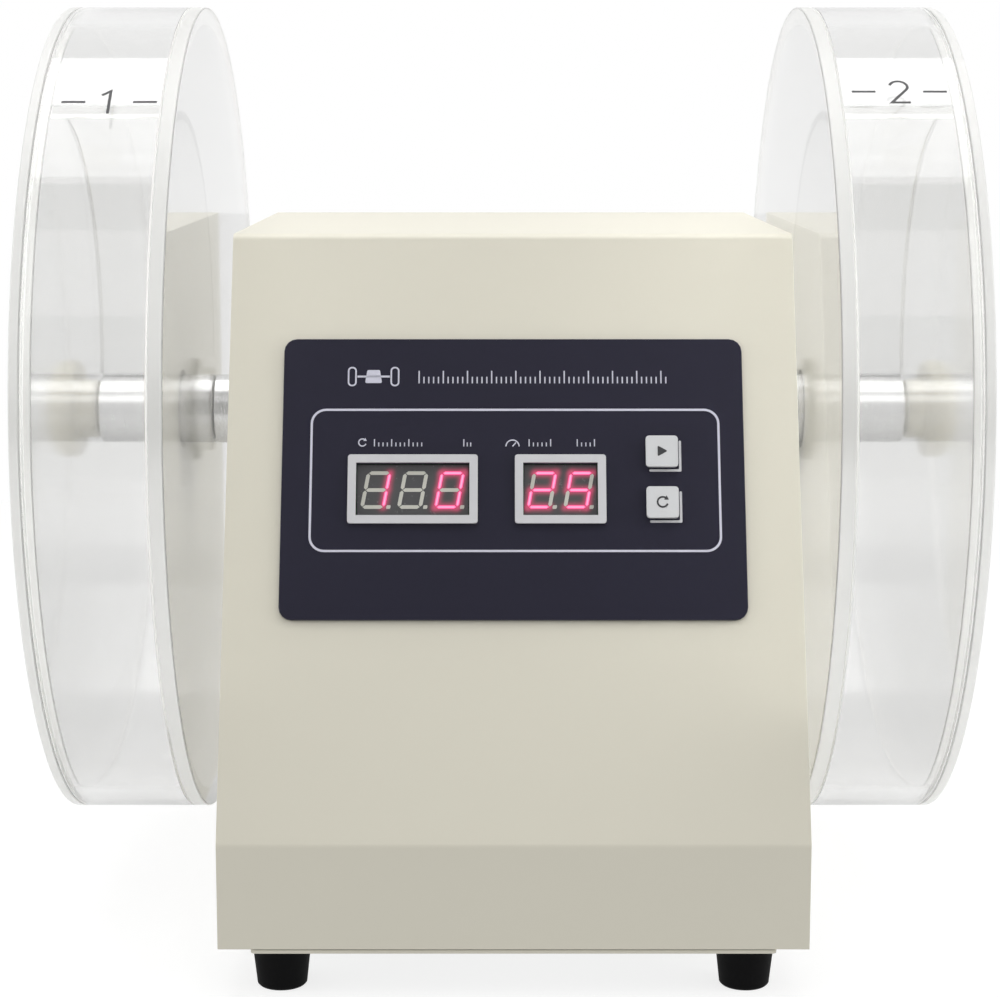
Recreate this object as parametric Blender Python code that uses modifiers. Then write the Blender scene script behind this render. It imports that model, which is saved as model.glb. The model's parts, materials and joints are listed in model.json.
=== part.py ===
"""Twin-drum tablet friability tester, in metres, +Z up, with the floor at zero.

The spindle lies along X. The two drums stand at equal distances from X = 0, and the
sloping front of the housing faces -Y. Front to back places are measured from the spindle.
"""

import math

import bmesh
import bpy
from mathutils import Matrix, Vector

# Fits
GAP = 0.0003
OVERRUN = 0.004
WELD_SHARE = 0.01
MERGE_SHARE = 0.03
SMOOTH_ANGLE = math.radians(30)

# Housing, bent and welded from sheet
HOUSING_WIDTH = 0.2000
HOUSING_SHIFT = 0.0039
HOUSING_FRONT = 0.1349
HOUSING_BACK = 0.1298
TOP_FRONT = 0.0473
TOP_ABOVE_SPINDLE = 0.0688
SPINDLE_ABOVE_COVER = 0.1673
SKIRT_HEIGHT = 0.0362
HOUSING_SHEET = 0.0015
TOP_BEND = 0.0035
CREASE_BEND = 0.0040
SIDE_BEND = 0.0012
REAR_LIP = 0.0120
SPINDLE_HOLE_CLEARANCE = 0.0020

# Base plate and feet
BASE_SHEET = 0.0015
BASE_SIDE_INSET = 0.0110
BASE_INSET = 0.0006
FOOT_HEIGHT = 0.0170
FOOT_TOP_RADIUS = 0.0103
FOOT_BOTTOM_RADIUS = 0.0086
FOOT_INSET = 0.0200
FOOT_LAND = 0.0065
FOOT_BORE_CLEARANCE = 0.0004
FOOT_RECESS_CLEARANCE = 0.0005
FOOT_RECESS_DEPTH = 0.0060
FOOT_EDGE = 0.0008
FOOT_SCREW_RADIUS = 0.0020
FOOT_SCREW_HEAD_RADIUS = 0.0040
FOOT_SCREW_HEAD = 0.0028
FOOT_SCREW_END = 0.0040

# Rear panel and what it carries
REAR_SHEET = 0.0015
REAR_SCREW_RADIUS = 0.0014
REAR_SCREW_HEAD_RADIUS = 0.0029
REAR_SCREW_HEAD = 0.0019
REAR_SCREW_CROWN_SHARE = 0.6
REAR_SCREW_LENGTH = 0.0080
REAR_SCREW_INSET = 0.0075
VENT_WIDTH = 0.0900
VENT_HEIGHT = 0.0040
VENT_PITCH = 0.0090
VENT_COUNT = 6
VENT_BELOW_TOP = 0.0400
REAR_PARTS_ABOVE_COVER = 0.0429
INLET_FROM_SIDE = 0.0520
INLET_BODY_WIDTH = 0.0280
INLET_BODY_HEIGHT = 0.0200
INLET_EAR = 0.0100
INLET_LIP = 0.0050
INLET_FLANGE_SHEET = 0.0030
INLET_WALL = 0.00175
INLET_SOCKET_DEPTH = 0.0170
INLET_BACK = 0.0070
INLET_CORNER = 0.0030
INLET_PIN = (0.0020, 0.0040, 0.0120)
INLET_PIN_SPREAD = 0.0070
INLET_PIN_STEP = 0.0020
SWITCH_FROM_INLET = 0.0520
SWITCH_BODY = (0.0190, 0.0220, 0.0180)
SWITCH_SIDE_LIP = 0.0010
SWITCH_END_LIP = 0.0020
SWITCH_FLANGE_SHEET = 0.0020
SWITCH_WALL = 0.0020
ROCKER_RISE = 0.0018
ROCKER_DEPTH = 0.0070
ROCKER_FOOT_SHARE = 0.5
ROCKER_WAIST_SHARE = 0.4
ROCKER_TILT = math.radians(9)
FUSE_FROM_SWITCH = 0.0380
FUSE_NECK_RADIUS = 0.0060
FUSE_NECK_LENGTH = 0.0200
FUSE_CAP_RADIUS = 0.0080
FUSE_CAP_LENGTH = 0.0080
FUSE_CAP_EDGE = 0.0008

# Control panel; places run from the middle of the crease, across and up the slope
PANEL_WIDTH = 0.1612
PANEL_HEIGHT = 0.1012
PANEL_MIDDLE = 0.1276
PANEL_CORNER = 0.0045
PANEL_SHEET = 0.0012
WINDOW_WIDTH = 0.1300
WINDOW_HEIGHT = 0.0440
WINDOW_ABOVE_DISPLAYS = 0.00275
DISPLAYS_BELOW_MIDDLE = 0.00435
DISPLAY_FACE_HEIGHT = 0.0189
DISPLAY_DEPTH = 0.0080
DISPLAY_SUNK = 0.0008
COUNTER_MIDDLE = -0.0349
COUNTER_FACE_WIDTH = 0.0394
SPEED_MIDDLE = 0.01645
SPEED_FACE_WIDTH = 0.0259
BEZEL_RIM = 0.0029
BEZEL_PROUD = 0.0010
BEZEL_CORNER = 0.0010
BEZEL_EDGE_SHARE = 0.25
KEY_SIDE = 0.0112
KEY_CORNER = 0.0012
KEY_PROUD = 0.0016
KEY_TRAVEL = 0.0008
KEY_ACROSS = 0.05175
START_KEY_ABOVE_DISPLAYS = 0.01325
KEY_PITCH = 0.0183
KEY_STEM_RADIUS = 0.0018
KEY_SWITCH = (0.0062, 0.0062, 0.0036)
BOARD_SHEET = 0.0016
DISPLAY_BOARD_WIDTH = 0.1260
DISPLAY_BOARD_HEIGHT = 0.0600
POST_RADIUS = 0.0030
POST_INSET = 0.0045

# Drums
DRUM_BORE_RADIUS = 0.1435
DRUM_WALL = 0.0065
DRUM_CLEARANCE = 0.0049
BACK_DISC_SHEET = 0.0050
CHAMBER_DEPTH = 0.0380
COVER_SHEET = 0.0035
COVER_STEP = 0.0030
VANE_BULGE = 0.036308
VANE_SHEET = 0.0030
VANE_RIM_ANGLE = math.radians(49.7)
HUB_RING_RADIUS = 0.01275
HUB_COLLAR_RADIUS = 0.0160
HUB_COLLAR_LENGTH = 0.0060
HUB_SPIGOT_RADIUS = 0.0105
WASHER_RADIUS = 0.0195
WASHER_SHEET = 0.0015
KNOB_RADIUS = 0.0185
KNOB_END_WALL = 0.0042
KNOB_NECK_RADIUS = 0.0110
KNOB_NECK_LENGTH = 0.0064
KNOB_SHOULDER = 0.0025
KNOB_DOME_LENGTH = 0.0072
KNOB_BORE_SPARE = 0.0018

# Spindle and its bearings
SPINDLE_RADIUS = 0.0100
SHOULDER_RADIUS = 0.0130
SEAT_RADIUS = 0.0080
SEAT_FLAT_DEPTH = 0.0018
SEAT_SHORT = 0.0005
STUD_RADIUS = 0.0050
STUD_LENGTH = 0.0140
STUD_CHAMFER = 0.0008
BEARING_FROM_SIDE = 0.0361
BEARING_RADIUS = 0.0210
BEARING_WIDTH = 0.0120
BEARING_RACE = 0.0035
BEARING_SHIELD_SUNK = 0.0006
SUPPORT_SHEET = 0.0036
SUPPORT_WIDTH = 0.0900
SUPPORT_TOP_RADIUS = 0.0340
SUPPORT_FOOT = 0.0200
SUPPORT_BOSS_WALL = 0.0040
SUPPORT_BOSS_LENGTH = 0.0140

# Drive
GEAR_MODULE = 0.0015
GEAR_TEETH = 40
PINION_TEETH = 20
GEAR_BACKLASH = 0.0007
DEDENDUM_SHARE = 1.25
GEAR_WIDTH = 0.0100
GEAR_TO_SUPPORT = 0.0071
GEAR_BOSS_RADIUS = 0.0170
GEAR_BOSS_LENGTH = 0.0080
GEAR_HOLE_RADIUS = 0.0040
GEAR_HOLE_COUNT = 5
PRESSURE_ANGLE = math.radians(20)
OUTPUT_SHAFT_RADIUS = 0.0040
OUTPUT_SHAFT_SUNK = 0.0100
OUTPUT_SHAFT_OVERHANG = 0.0020
GEARBOX_TO_SPINDLE = 0.0050
GEARBOX_LENGTH = 0.0240
MOTOR_STEP = 0.0020
MOTOR_TO_ENCODER = 0.0062
BRACKET_TO_GEAR = 0.0057
MOTOR_EDGE = 0.0015
BRACKET_SHEET = 0.0030
BRACKET_WIDTH = 0.0700
BRACKET_FOOT = 0.0250
BRACKET_HOLE_RADIUS = 0.0110
ENCODER_RADIUS = 0.0260
ENCODER_SHEET = 0.0010
ENCODER_TO_SUPPORT = 0.0061
ENCODER_SLOT = (0.0030, 0.0050)
ENCODER_SLOT_COUNT = 4
ENCODER_BOSS_RADIUS = 0.0145
ENCODER_BOSS_LENGTH = 0.0035
SENSOR_THROAT = 0.0060
SENSOR_ARM = 0.0042
SENSOR_HEIGHT = 0.0110
SENSOR_TO_BOSS = 0.0015
SENSOR_BACK = 0.0080

# Electrical parts on the base plate
MAIN_BOARD = (0.1200, 0.0500)
MAIN_BOARD_TO_SUPPORT = 0.0030
MAIN_BOARD_POST = 0.0080
CAPACITOR_RADIUS = 0.0080
CAPACITOR_HEIGHT = 0.0240
CAPACITOR_PLACES = ((-0.0300, 0.0000), (-0.0060, 0.0000))
RELAY = (0.0190, 0.0155, 0.0155)
RELAY_PLACE = (0.0200, -0.0100)
HEAT_SINK = (0.0300, 0.0120, 0.0220)
HEAT_SINK_PLACE = (0.0300, 0.0125)
IRON_CORE = (0.0540, 0.0360, 0.0450)
IRON_CORE_LEFT = 0.0300
IRON_CORE_TO_SUPPORT = 0.0040
WINDING = (0.0340, 0.0480, 0.0300)
CORE_STRAP = (0.0700, 0.0240, 0.0015)

# Roundness
DRUM_SIDES = 72
SHAFT_SIDES = 24
SMALL_SIDES = 12
BEND_STEPS = 4
VENT_STEPS = 2
DOME_STEPS = 7
SHOULDER_STEPS = 3
VANE_STEPS = 22

# Heights and places worked out from the sizes above
BASE_BOTTOM = FOOT_HEIGHT + GAP
BASE_TOP = BASE_BOTTOM + BASE_SHEET
COVER_BOTTOM = BASE_TOP + GAP
COVER_FLOOR = COVER_BOTTOM + HOUSING_SHEET
SPINDLE_Z = COVER_BOTTOM + SPINDLE_ABOVE_COVER
TOP_Z = SPINDLE_Z + TOP_ABOVE_SPINDLE
CREASE_Z = COVER_BOTTOM + SKIRT_HEIGHT
SLOPE_LEAN = math.atan2(HOUSING_FRONT - TOP_FRONT, TOP_Z - CREASE_Z)
HALF_WIDTH = HOUSING_WIDTH / 2
REAR_RECESS = REAR_SHEET + GAP
BASE_LIP = FOOT_INSET + FOOT_LAND
FOOT_BORE_RADIUS = FOOT_SCREW_RADIUS + FOOT_BORE_CLEARANCE
FOOT_RECESS_RADIUS = FOOT_SCREW_HEAD_RADIUS + FOOT_RECESS_CLEARANCE
SPINDLE_HOLE_RADIUS = SHOULDER_RADIUS + SPINDLE_HOLE_CLEARANCE
DRUM_RADIUS = DRUM_BORE_RADIUS + DRUM_WALL
DRUM_STANDOFF = HALF_WIDTH + HOUSING_SHIFT + DRUM_CLEARANCE
BACK_DISC_FACE = DRUM_STANDOFF + BACK_DISC_SHEET
COVER_STEP_FACE = BACK_DISC_FACE + CHAMBER_DEPTH
COVER_DISC_FACE = COVER_STEP_FACE + COVER_STEP
COVER_OUTER_FACE = COVER_DISC_FACE + COVER_SHEET
SEAT_END = COVER_OUTER_FACE - SEAT_SHORT
SEAT_FLAT = SEAT_RADIUS - SEAT_FLAT_DEPTH
STUD_END = SEAT_END + STUD_LENGTH
KNOB_BORE_DEPTH = STUD_LENGTH - SEAT_SHORT - GAP + KNOB_BORE_SPARE
KNOB_LENGTH = KNOB_BORE_DEPTH + KNOB_END_WALL
BEARING_SPREAD = HALF_WIDTH - HOUSING_SHIFT - BEARING_FROM_SIDE
BEARING_INNER_FACE = BEARING_SPREAD - BEARING_WIDTH / 2
BEARING_OUTER_FACE = BEARING_SPREAD + BEARING_WIDTH / 2
SUPPORT_FACE = BEARING_INNER_FACE - GAP
SUPPORT_INNER_FACE = SUPPORT_FACE - SUPPORT_SHEET
GEAR_PLACE = SUPPORT_INNER_FACE - GEAR_TO_SUPPORT - GEAR_BOSS_LENGTH - GEAR_WIDTH / 2
ENCODER_PLACE = ENCODER_TO_SUPPORT - SUPPORT_INNER_FACE
MOTOR_BELOW_SPINDLE = GEAR_MODULE * (GEAR_TEETH + PINION_TEETH) / 2
MOTOR_Z = SPINDLE_Z - MOTOR_BELOW_SPINDLE
MOTOR_FACE = GEAR_PLACE - GEAR_WIDTH / 2 - BRACKET_TO_GEAR - BRACKET_SHEET - GAP
GEARBOX_RADIUS = MOTOR_BELOW_SPINDLE - SPINDLE_RADIUS - GEARBOX_TO_SPINDLE
MOTOR_RADIUS = GEARBOX_RADIUS - MOTOR_STEP
MOTOR_FRONT = MOTOR_FACE - GEARBOX_LENGTH - GAP
MOTOR_LENGTH = MOTOR_FRONT - ENCODER_PLACE - ENCODER_SHEET / 2 - MOTOR_TO_ENCODER
MAIN_BOARD_Y = SUPPORT_WIDTH / 2 + MAIN_BOARD_TO_SUPPORT + MAIN_BOARD[1] / 2
IRON_CORE_Y = -SUPPORT_WIDTH / 2 - IRON_CORE_TO_SUPPORT - IRON_CORE[1] / 2
DISPLAY_MIDDLE = PANEL_MIDDLE - DISPLAYS_BELOW_MIDDLE
WINDOW_MIDDLE = DISPLAY_MIDDLE + WINDOW_ABOVE_DISPLAYS
START_KEY_UP = DISPLAY_MIDDLE + START_KEY_ABOVE_DISPLAYS
RESET_KEY_UP = START_KEY_UP - KEY_PITCH
REAR_PARTS_Z = COVER_BOTTOM + REAR_PARTS_ABOVE_COVER
INLET_PLACE = (INLET_FROM_SIDE - HALF_WIDTH, REAR_PARTS_Z)
SWITCH_PLACE = (INLET_PLACE[0] + SWITCH_FROM_INLET, REAR_PARTS_Z)
FUSE_PLACE = (SWITCH_PLACE[0] + FUSE_FROM_SWITCH, REAR_PARTS_Z)
FOOT_ACROSS = HALF_WIDTH - FOOT_INSET
FOOT_PLACES = {
    "front_left": (-FOOT_ACROSS, FOOT_INSET - HOUSING_FRONT),
    "front_right": (FOOT_ACROSS, FOOT_INSET - HOUSING_FRONT),
    "rear_left": (-FOOT_ACROSS, HOUSING_BACK - FOOT_INSET),
    "rear_right": (FOOT_ACROSS, HOUSING_BACK - FOOT_INSET),
}
REAR_SCREW_ACROSS = HALF_WIDTH - REAR_SCREW_INSET
REAR_SCREW_LOW = COVER_BOTTOM + REAR_SCREW_INSET
REAR_SCREW_HIGH = TOP_Z - REAR_SCREW_INSET
REAR_SCREW_PLACES = {
    "lower_left": (-REAR_SCREW_ACROSS, REAR_SCREW_LOW),
    "lower_right": (REAR_SCREW_ACROSS, REAR_SCREW_LOW),
    "upper_left": (-REAR_SCREW_ACROSS, REAR_SCREW_HIGH),
    "upper_right": (REAR_SCREW_ACROSS, REAR_SCREW_HIGH),
}
SIDES = {"left": -1, "right": 1}

# A turn that lays a shape's own Z along X, its X along Y and its Y along Z
ALONG_X = Matrix(((0, 0, 1), (1, 0, 0), (0, 1, 0))).to_4x4()
# A turn that stands a shape's own Y up and points its Z to the back
FACING_BACK = Matrix(((-1, 0, 0), (0, 0, 1), (0, 1, 0))).to_4x4()


def clear_scene():
    for obj in list(bpy.data.objects):
        bpy.data.objects.remove(obj, do_unlink=True)


def make_collection(name):
    collection = bpy.data.collections.new(name)
    bpy.context.scene.collection.children.link(collection)
    return collection


clear_scene()
PARTS = make_collection("tablet_friability_tester")
CUTTERS = make_collection("cutters")


def make_material(name, colour, roughness, metallic=0.0, transmission=0.0):
    material = bpy.data.materials.new(name)
    material.use_nodes = True
    shader = material.node_tree.nodes["Principled BSDF"]
    shader.inputs["Base Color"].default_value = (*colour, 1)
    shader.inputs["Roughness"].default_value = roughness
    shader.inputs["Metallic"].default_value = metallic
    shader.inputs["Transmission Weight"].default_value = transmission
    material.diffuse_color = (*colour, 1)
    material.roughness = roughness
    material.metallic = metallic
    return material


CREAM_PAINT = make_material("cream_paint", (0.66, 0.63, 0.53), 0.45)
ZINC_STEEL = make_material("zinc_steel", (0.62, 0.63, 0.64), 0.35, 1.0)
BLACK_RUBBER = make_material("black_rubber", (0.02, 0.02, 0.02), 0.8)
NAVY_FILM = make_material("navy_film", (0.022, 0.024, 0.038), 0.4)
GREY_PLASTIC = make_material("grey_plastic", (0.6, 0.6, 0.6), 0.4)
KEY_PLASTIC = make_material("key_plastic", (0.66, 0.66, 0.65), 0.45)
DISPLAY_FACE = make_material("display_face", (0.1, 0.09, 0.1), 0.3)
GREEN_BOARD = make_material("green_board", (0.03, 0.18, 0.07), 0.5)
BLACK_PLASTIC = make_material("black_plastic", (0.03, 0.03, 0.03), 0.4)
CLEAR_ACRYLIC = make_material("clear_acrylic", (0.92, 0.94, 0.95), 0.05, 0.0, 1.0)
BRIGHT_STEEL = make_material("bright_steel", (0.75, 0.75, 0.76), 0.15, 1.0)
BEARING_STEEL = make_material("bearing_steel", (0.55, 0.55, 0.57), 0.25, 1.0)
CAST_ALUMINIUM = make_material("cast_aluminium", (0.6, 0.6, 0.61), 0.5, 1.0)
BRASS = make_material("brass", (0.7, 0.52, 0.25), 0.3, 1.0)
IVORY_PLASTIC = make_material("ivory_plastic", (0.72, 0.66, 0.5), 0.35)
MOTOR_STEEL = make_material("motor_steel", (0.45, 0.46, 0.48), 0.4, 1.0)


def make_empty(name, place, turn=None, parent=None):
    empty = bpy.data.objects.new(name, None)
    PARTS.objects.link(empty)
    empty.parent = parent
    empty.matrix_local = Matrix.Translation(place) @ (turn or Matrix())
    return empty


def finish(obj, material, parent, place=(0, 0, 0), turn=None):
    """Gives a piece its material, its carrier and its place on that carrier."""
    obj.data.materials.clear()
    obj.data.materials.append(material)
    obj.parent = parent
    obj.matrix_local = Matrix.Translation(place) @ (turn or Matrix())
    obj.data.shade_smooth()
    obj.data.set_sharp_from_angle(angle=SMOOTH_ANGLE)
    return obj


def as_cutter(obj, parent=None, place=(0, 0, 0), turn=None):
    PARTS.objects.unlink(obj)
    CUTTERS.objects.link(obj)
    obj.hide_render = True
    obj.display_type = "WIRE"
    obj.parent = parent
    obj.matrix_local = Matrix.Translation(place) @ (turn or Matrix())
    return obj


def combine(target, tool, operation="DIFFERENCE"):
    modifier = target.modifiers.new(operation.lower(), "BOOLEAN")
    modifier.operation = operation
    modifier.object = tool
    modifier.solver = "EXACT"


def bevel(obj, width, segments=2, angle=40):
    modifier = obj.modifiers.new("edge", "BEVEL")
    modifier.width = width
    modifier.segments = segments
    modifier.limit_method = "ANGLE"
    modifier.angle_limit = math.radians(angle)


def link_mesh(name, mesh):
    obj = bpy.data.objects.new(name, mesh)
    PARTS.objects.link(obj)
    return obj


def mesh_from_curve(curve_object):
    """The curve's shape as a mesh object with its caps welded; the curve goes."""
    bpy.context.view_layer.update()
    graph = bpy.context.evaluated_depsgraph_get()
    mesh = bpy.data.meshes.new_from_object(curve_object.evaluated_get(graph))
    work = bmesh.new()
    work.from_mesh(mesh)
    bmesh.ops.remove_doubles(work, verts=work.verts, dist=GAP * WELD_SHARE)
    work.to_mesh(mesh)
    work.free()
    name = curve_object.name
    matrix = curve_object.matrix_world.copy()
    bpy.data.objects.remove(curve_object, do_unlink=True)
    obj = link_mesh(name, mesh)
    obj.matrix_world = matrix
    return obj


def plate(name, outlines, thickness):
    """A flat plate about z = 0; outlines after the first are holes."""
    curve = bpy.data.curves.new(name, "CURVE")
    curve.dimensions = "2D"
    curve.fill_mode = "BOTH"
    curve.extrude = thickness / 2
    for outline in outlines:
        spline = curve.splines.new("POLY")
        spline.points.add(len(outline) - 1)
        for point, (x, y) in zip(spline.points, outline):
            point.co = (x, y, 0, 1)
        spline.use_cyclic_u = True
    curve_object = bpy.data.objects.new(name, curve)
    PARTS.objects.link(curve_object)
    return mesh_from_curve(curve_object)


def box(name, size, middle=(0, 0, 0)):
    mesh = bpy.data.meshes.new(name)
    work = bmesh.new()
    matrix = Matrix.Translation(middle) @ Matrix.Diagonal((*size, 1))
    bmesh.ops.create_cube(work, size=1, matrix=matrix)
    work.to_mesh(mesh)
    work.free()
    return link_mesh(name, mesh)


def rods(name, radius, low, high, places, sides=SMALL_SIDES):
    """Upright rods from low to high, one at each (x, y) place, in one mesh."""
    mesh = bpy.data.meshes.new(name)
    work = bmesh.new()
    for x, y in places:
        bmesh.ops.create_cone(
            work,
            cap_ends=True,
            segments=sides,
            radius1=radius,
            radius2=radius,
            depth=high - low,
            matrix=Matrix.Translation((x, y, (low + high) / 2)),
        )
    work.to_mesh(mesh)
    work.free()
    return link_mesh(name, mesh)


def turned(name, profile, sides=SHAFT_SIDES, ring=False):
    """A turned piece about its own Z; the profile holds (radius, height) from the top down."""
    mesh = bpy.data.meshes.new(name)
    count = len(profile)
    edges = [(i, i + 1) for i in range(count - 1)]
    if ring:
        edges.append((count - 1, 0))
    mesh.from_pydata([(radius, 0, height) for radius, height in profile], edges, [])
    obj = link_mesh(name, mesh)
    screw = obj.modifiers.new("turn", "SCREW")
    screw.axis = "Z"
    screw.steps = sides
    screw.render_steps = sides
    screw.use_merge_vertices = True
    screw.merge_threshold = GAP * MERGE_SHARE
    return obj


def circle(radius, sides, middle=(0, 0), start=0.0):
    return [
        (
            middle[0] + radius * math.cos(start + math.tau * i / sides),
            middle[1] + radius * math.sin(start + math.tau * i / sides),
        )
        for i in range(sides)
    ]


def rounded(corners, radii, steps=BEND_STEPS):
    """A closed outline whose corners turn on arcs; a radius of zero leaves a corner sharp."""
    outline = []
    for i, (corner, radius) in enumerate(zip(corners, radii)):
        here = Vector(corner)
        before = (Vector(corners[i - 1]) - here).normalized()
        after = (Vector(corners[(i + 1) % len(corners)]) - here).normalized()
        if radius == 0:
            outline.append(tuple(here))
            continue
        half = before.angle(after) / 2
        middle = here + (before + after).normalized() * radius / math.sin(half)
        first = here + before * radius / math.tan(half) - middle
        sweep = first.angle_signed(here + after * radius / math.tan(half) - middle)
        for step in range(steps + 1):
            turn = -sweep * step / steps
            outline.append(
                (
                    middle.x + first.x * math.cos(turn) - first.y * math.sin(turn),
                    middle.y + first.x * math.sin(turn) + first.y * math.cos(turn),
                )
            )
    return outline


def rectangle(width, height, radius=0.0, middle=(0, 0), steps=BEND_STEPS):
    x, y = middle
    corners = [
        (x - width / 2, y - height / 2),
        (x + width / 2, y - height / 2),
        (x + width / 2, y + height / 2),
        (x - width / 2, y + height / 2),
    ]
    return rounded(corners, [radius] * 4, steps)


def inset(corners, distance):
    """The corners of a convex outline, run anticlockwise, with each side moved inwards."""
    moved = []
    for i, corner in enumerate(corners):
        here = Vector(corner)
        back = (here - Vector(corners[i - 1])).normalized()
        ahead = (Vector(corners[(i + 1) % len(corners)]) - here).normalized()
        back_in = Vector((-back.y, back.x))
        ahead_in = Vector((-ahead.y, ahead.x))
        shift = (back_in + ahead_in) * distance / (1 + back_in.dot(ahead_in))
        moved.append(tuple(here + shift))
    return moved


# Frames that carry the pieces
HOUSING = make_empty("housing_frame", (HOUSING_SHIFT, 0, 0))
SLOPE = make_empty(
    "slope_frame",
    (0, -HOUSING_FRONT, CREASE_Z),
    Matrix.Rotation(math.pi / 2 - SLOPE_LEAN, 4, "X"),
    HOUSING,
)
REAR = make_empty("rear_frame", (0, HOUSING_BACK, 0), FACING_BACK, HOUSING)
SPINDLE_AXIS = make_empty("spindle_axis", (0, 0, SPINDLE_Z))
MOTOR_AXIS = make_empty("motor_axis", (HOUSING_SHIFT, 0, MOTOR_Z))


def housing_outline(extra):
    """The housing's side outline as (y, z), longer by extra at the back and bottom."""
    return [
        (-HOUSING_FRONT, COVER_BOTTOM - extra),
        (HOUSING_BACK + extra, COVER_BOTTOM - extra),
        (HOUSING_BACK + extra, TOP_Z),
        (-TOP_FRONT, TOP_Z),
        (-HOUSING_FRONT, CREASE_Z),
    ]


def cavity_outline():
    """The inside of the walls and lips, as (y, z) corners."""
    lip_back = HOUSING_BACK - REAR_RECESS - HOUSING_SHEET
    corners = inset(housing_outline(0), HOUSING_SHEET)
    return [
        (corners[0][0], COVER_FLOOR),
        (lip_back, COVER_FLOOR),
        (lip_back, corners[2][1]),
        corners[3],
        corners[4],
    ]


def make_housing_cover():
    inner_width = HOUSING_WIDTH - 2 * HOUSING_SHEET
    radii = [0, 0, 0, TOP_BEND, CREASE_BEND]
    inner_radii = [0, 0, 0, TOP_BEND - HOUSING_SHEET, CREASE_BEND - HOUSING_SHEET]
    cover = plate("housing_cover", [rounded(housing_outline(OVERRUN), radii)], HOUSING_WIDTH)
    finish(cover, CREAM_PAINT, HOUSING, turn=ALONG_X)
    bevel(cover, SIDE_BEND, segments=2, angle=60)

    depth = HOUSING_FRONT + HOUSING_BACK + OVERRUN
    height = TOP_Z - COVER_BOTTOM + OVERRUN
    limits = box("cover_limits", (HOUSING_WIDTH + 2 * OVERRUN, depth, height))
    middle = (0, HOUSING_BACK - depth / 2, COVER_BOTTOM + height / 2)
    combine(cover, as_cutter(limits, HOUSING, middle), "INTERSECT")

    cavity = plate("cover_cavity", [rounded(cavity_outline(), inner_radii)], inner_width)
    combine(cover, as_cutter(cavity, HOUSING, turn=ALONG_X))

    recess_height = TOP_Z - COVER_BOTTOM - 2 * HOUSING_SHEET
    recess = box("cover_recess", (inner_width, REAR_RECESS + OVERRUN, recess_height))
    recess_y = HOUSING_BACK + (OVERRUN - REAR_RECESS) / 2
    combine(cover, as_cutter(recess, HOUSING, (0, recess_y, (TOP_Z + COVER_BOTTOM) / 2)))

    lip_width = HOUSING_WIDTH - 2 * REAR_LIP
    lip_height = TOP_Z - COVER_BOTTOM - 2 * REAR_LIP
    back_opening = box("cover_back_opening", (lip_width, 2 * OVERRUN, lip_height))
    back_y = HOUSING_BACK - REAR_RECESS - HOUSING_SHEET / 2
    combine(cover, as_cutter(back_opening, HOUSING, (0, back_y, (TOP_Z + COVER_BOTTOM) / 2)))

    base_width = HOUSING_WIDTH - 2 * BASE_LIP
    base_depth = HOUSING_FRONT + HOUSING_BACK - 2 * BASE_LIP
    base_opening = box("cover_base_opening", (base_width, base_depth, 2 * OVERRUN))
    base_y = (HOUSING_BACK - HOUSING_FRONT) / 2
    combine(cover, as_cutter(base_opening, HOUSING, (0, base_y, COVER_BOTTOM)))

    window = box("cover_window", (WINDOW_WIDTH, WINDOW_HEIGHT, 2 * OVERRUN))
    combine(cover, as_cutter(window, SLOPE, (0, WINDOW_MIDDLE, 0)))

    bore = rods(
        "cover_spindle_holes",
        SPINDLE_HOLE_RADIUS,
        -HALF_WIDTH - OVERRUN,
        HALF_WIDTH + OVERRUN,
        [(0, SPINDLE_Z)],
        SHAFT_SIDES,
    )
    combine(cover, as_cutter(bore, HOUSING, turn=ALONG_X))

    foot_holes = rods(
        "cover_foot_holes",
        FOOT_SCREW_RADIUS + GAP,
        COVER_BOTTOM - OVERRUN,
        COVER_BOTTOM + OVERRUN,
        FOOT_PLACES.values(),
    )
    combine(cover, as_cutter(foot_holes, HOUSING))

    rear_holes = rods(
        "cover_rear_holes",
        REAR_SCREW_RADIUS + GAP,
        -OVERRUN - REAR_RECESS,
        0,
        REAR_SCREW_PLACES.values(),
    )
    combine(cover, as_cutter(rear_holes, REAR))
    return cover


def make_base_plate():
    depth = HOUSING_FRONT + HOUSING_BACK - 2 * BASE_INSET
    middle = (0, (HOUSING_BACK - HOUSING_FRONT) / 2)
    holes = [circle(FOOT_SCREW_RADIUS + GAP, SMALL_SIDES, place) for place in FOOT_PLACES.values()]
    width = HOUSING_WIDTH - 2 * BASE_SIDE_INSET
    outline = rectangle(width, depth, HOUSING_SHEET, middle)
    base = plate("base_plate", [outline, *holes], BASE_SHEET)
    finish(base, ZINC_STEEL, HOUSING, (0, 0, BASE_BOTTOM + BASE_SHEET / 2))


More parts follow.
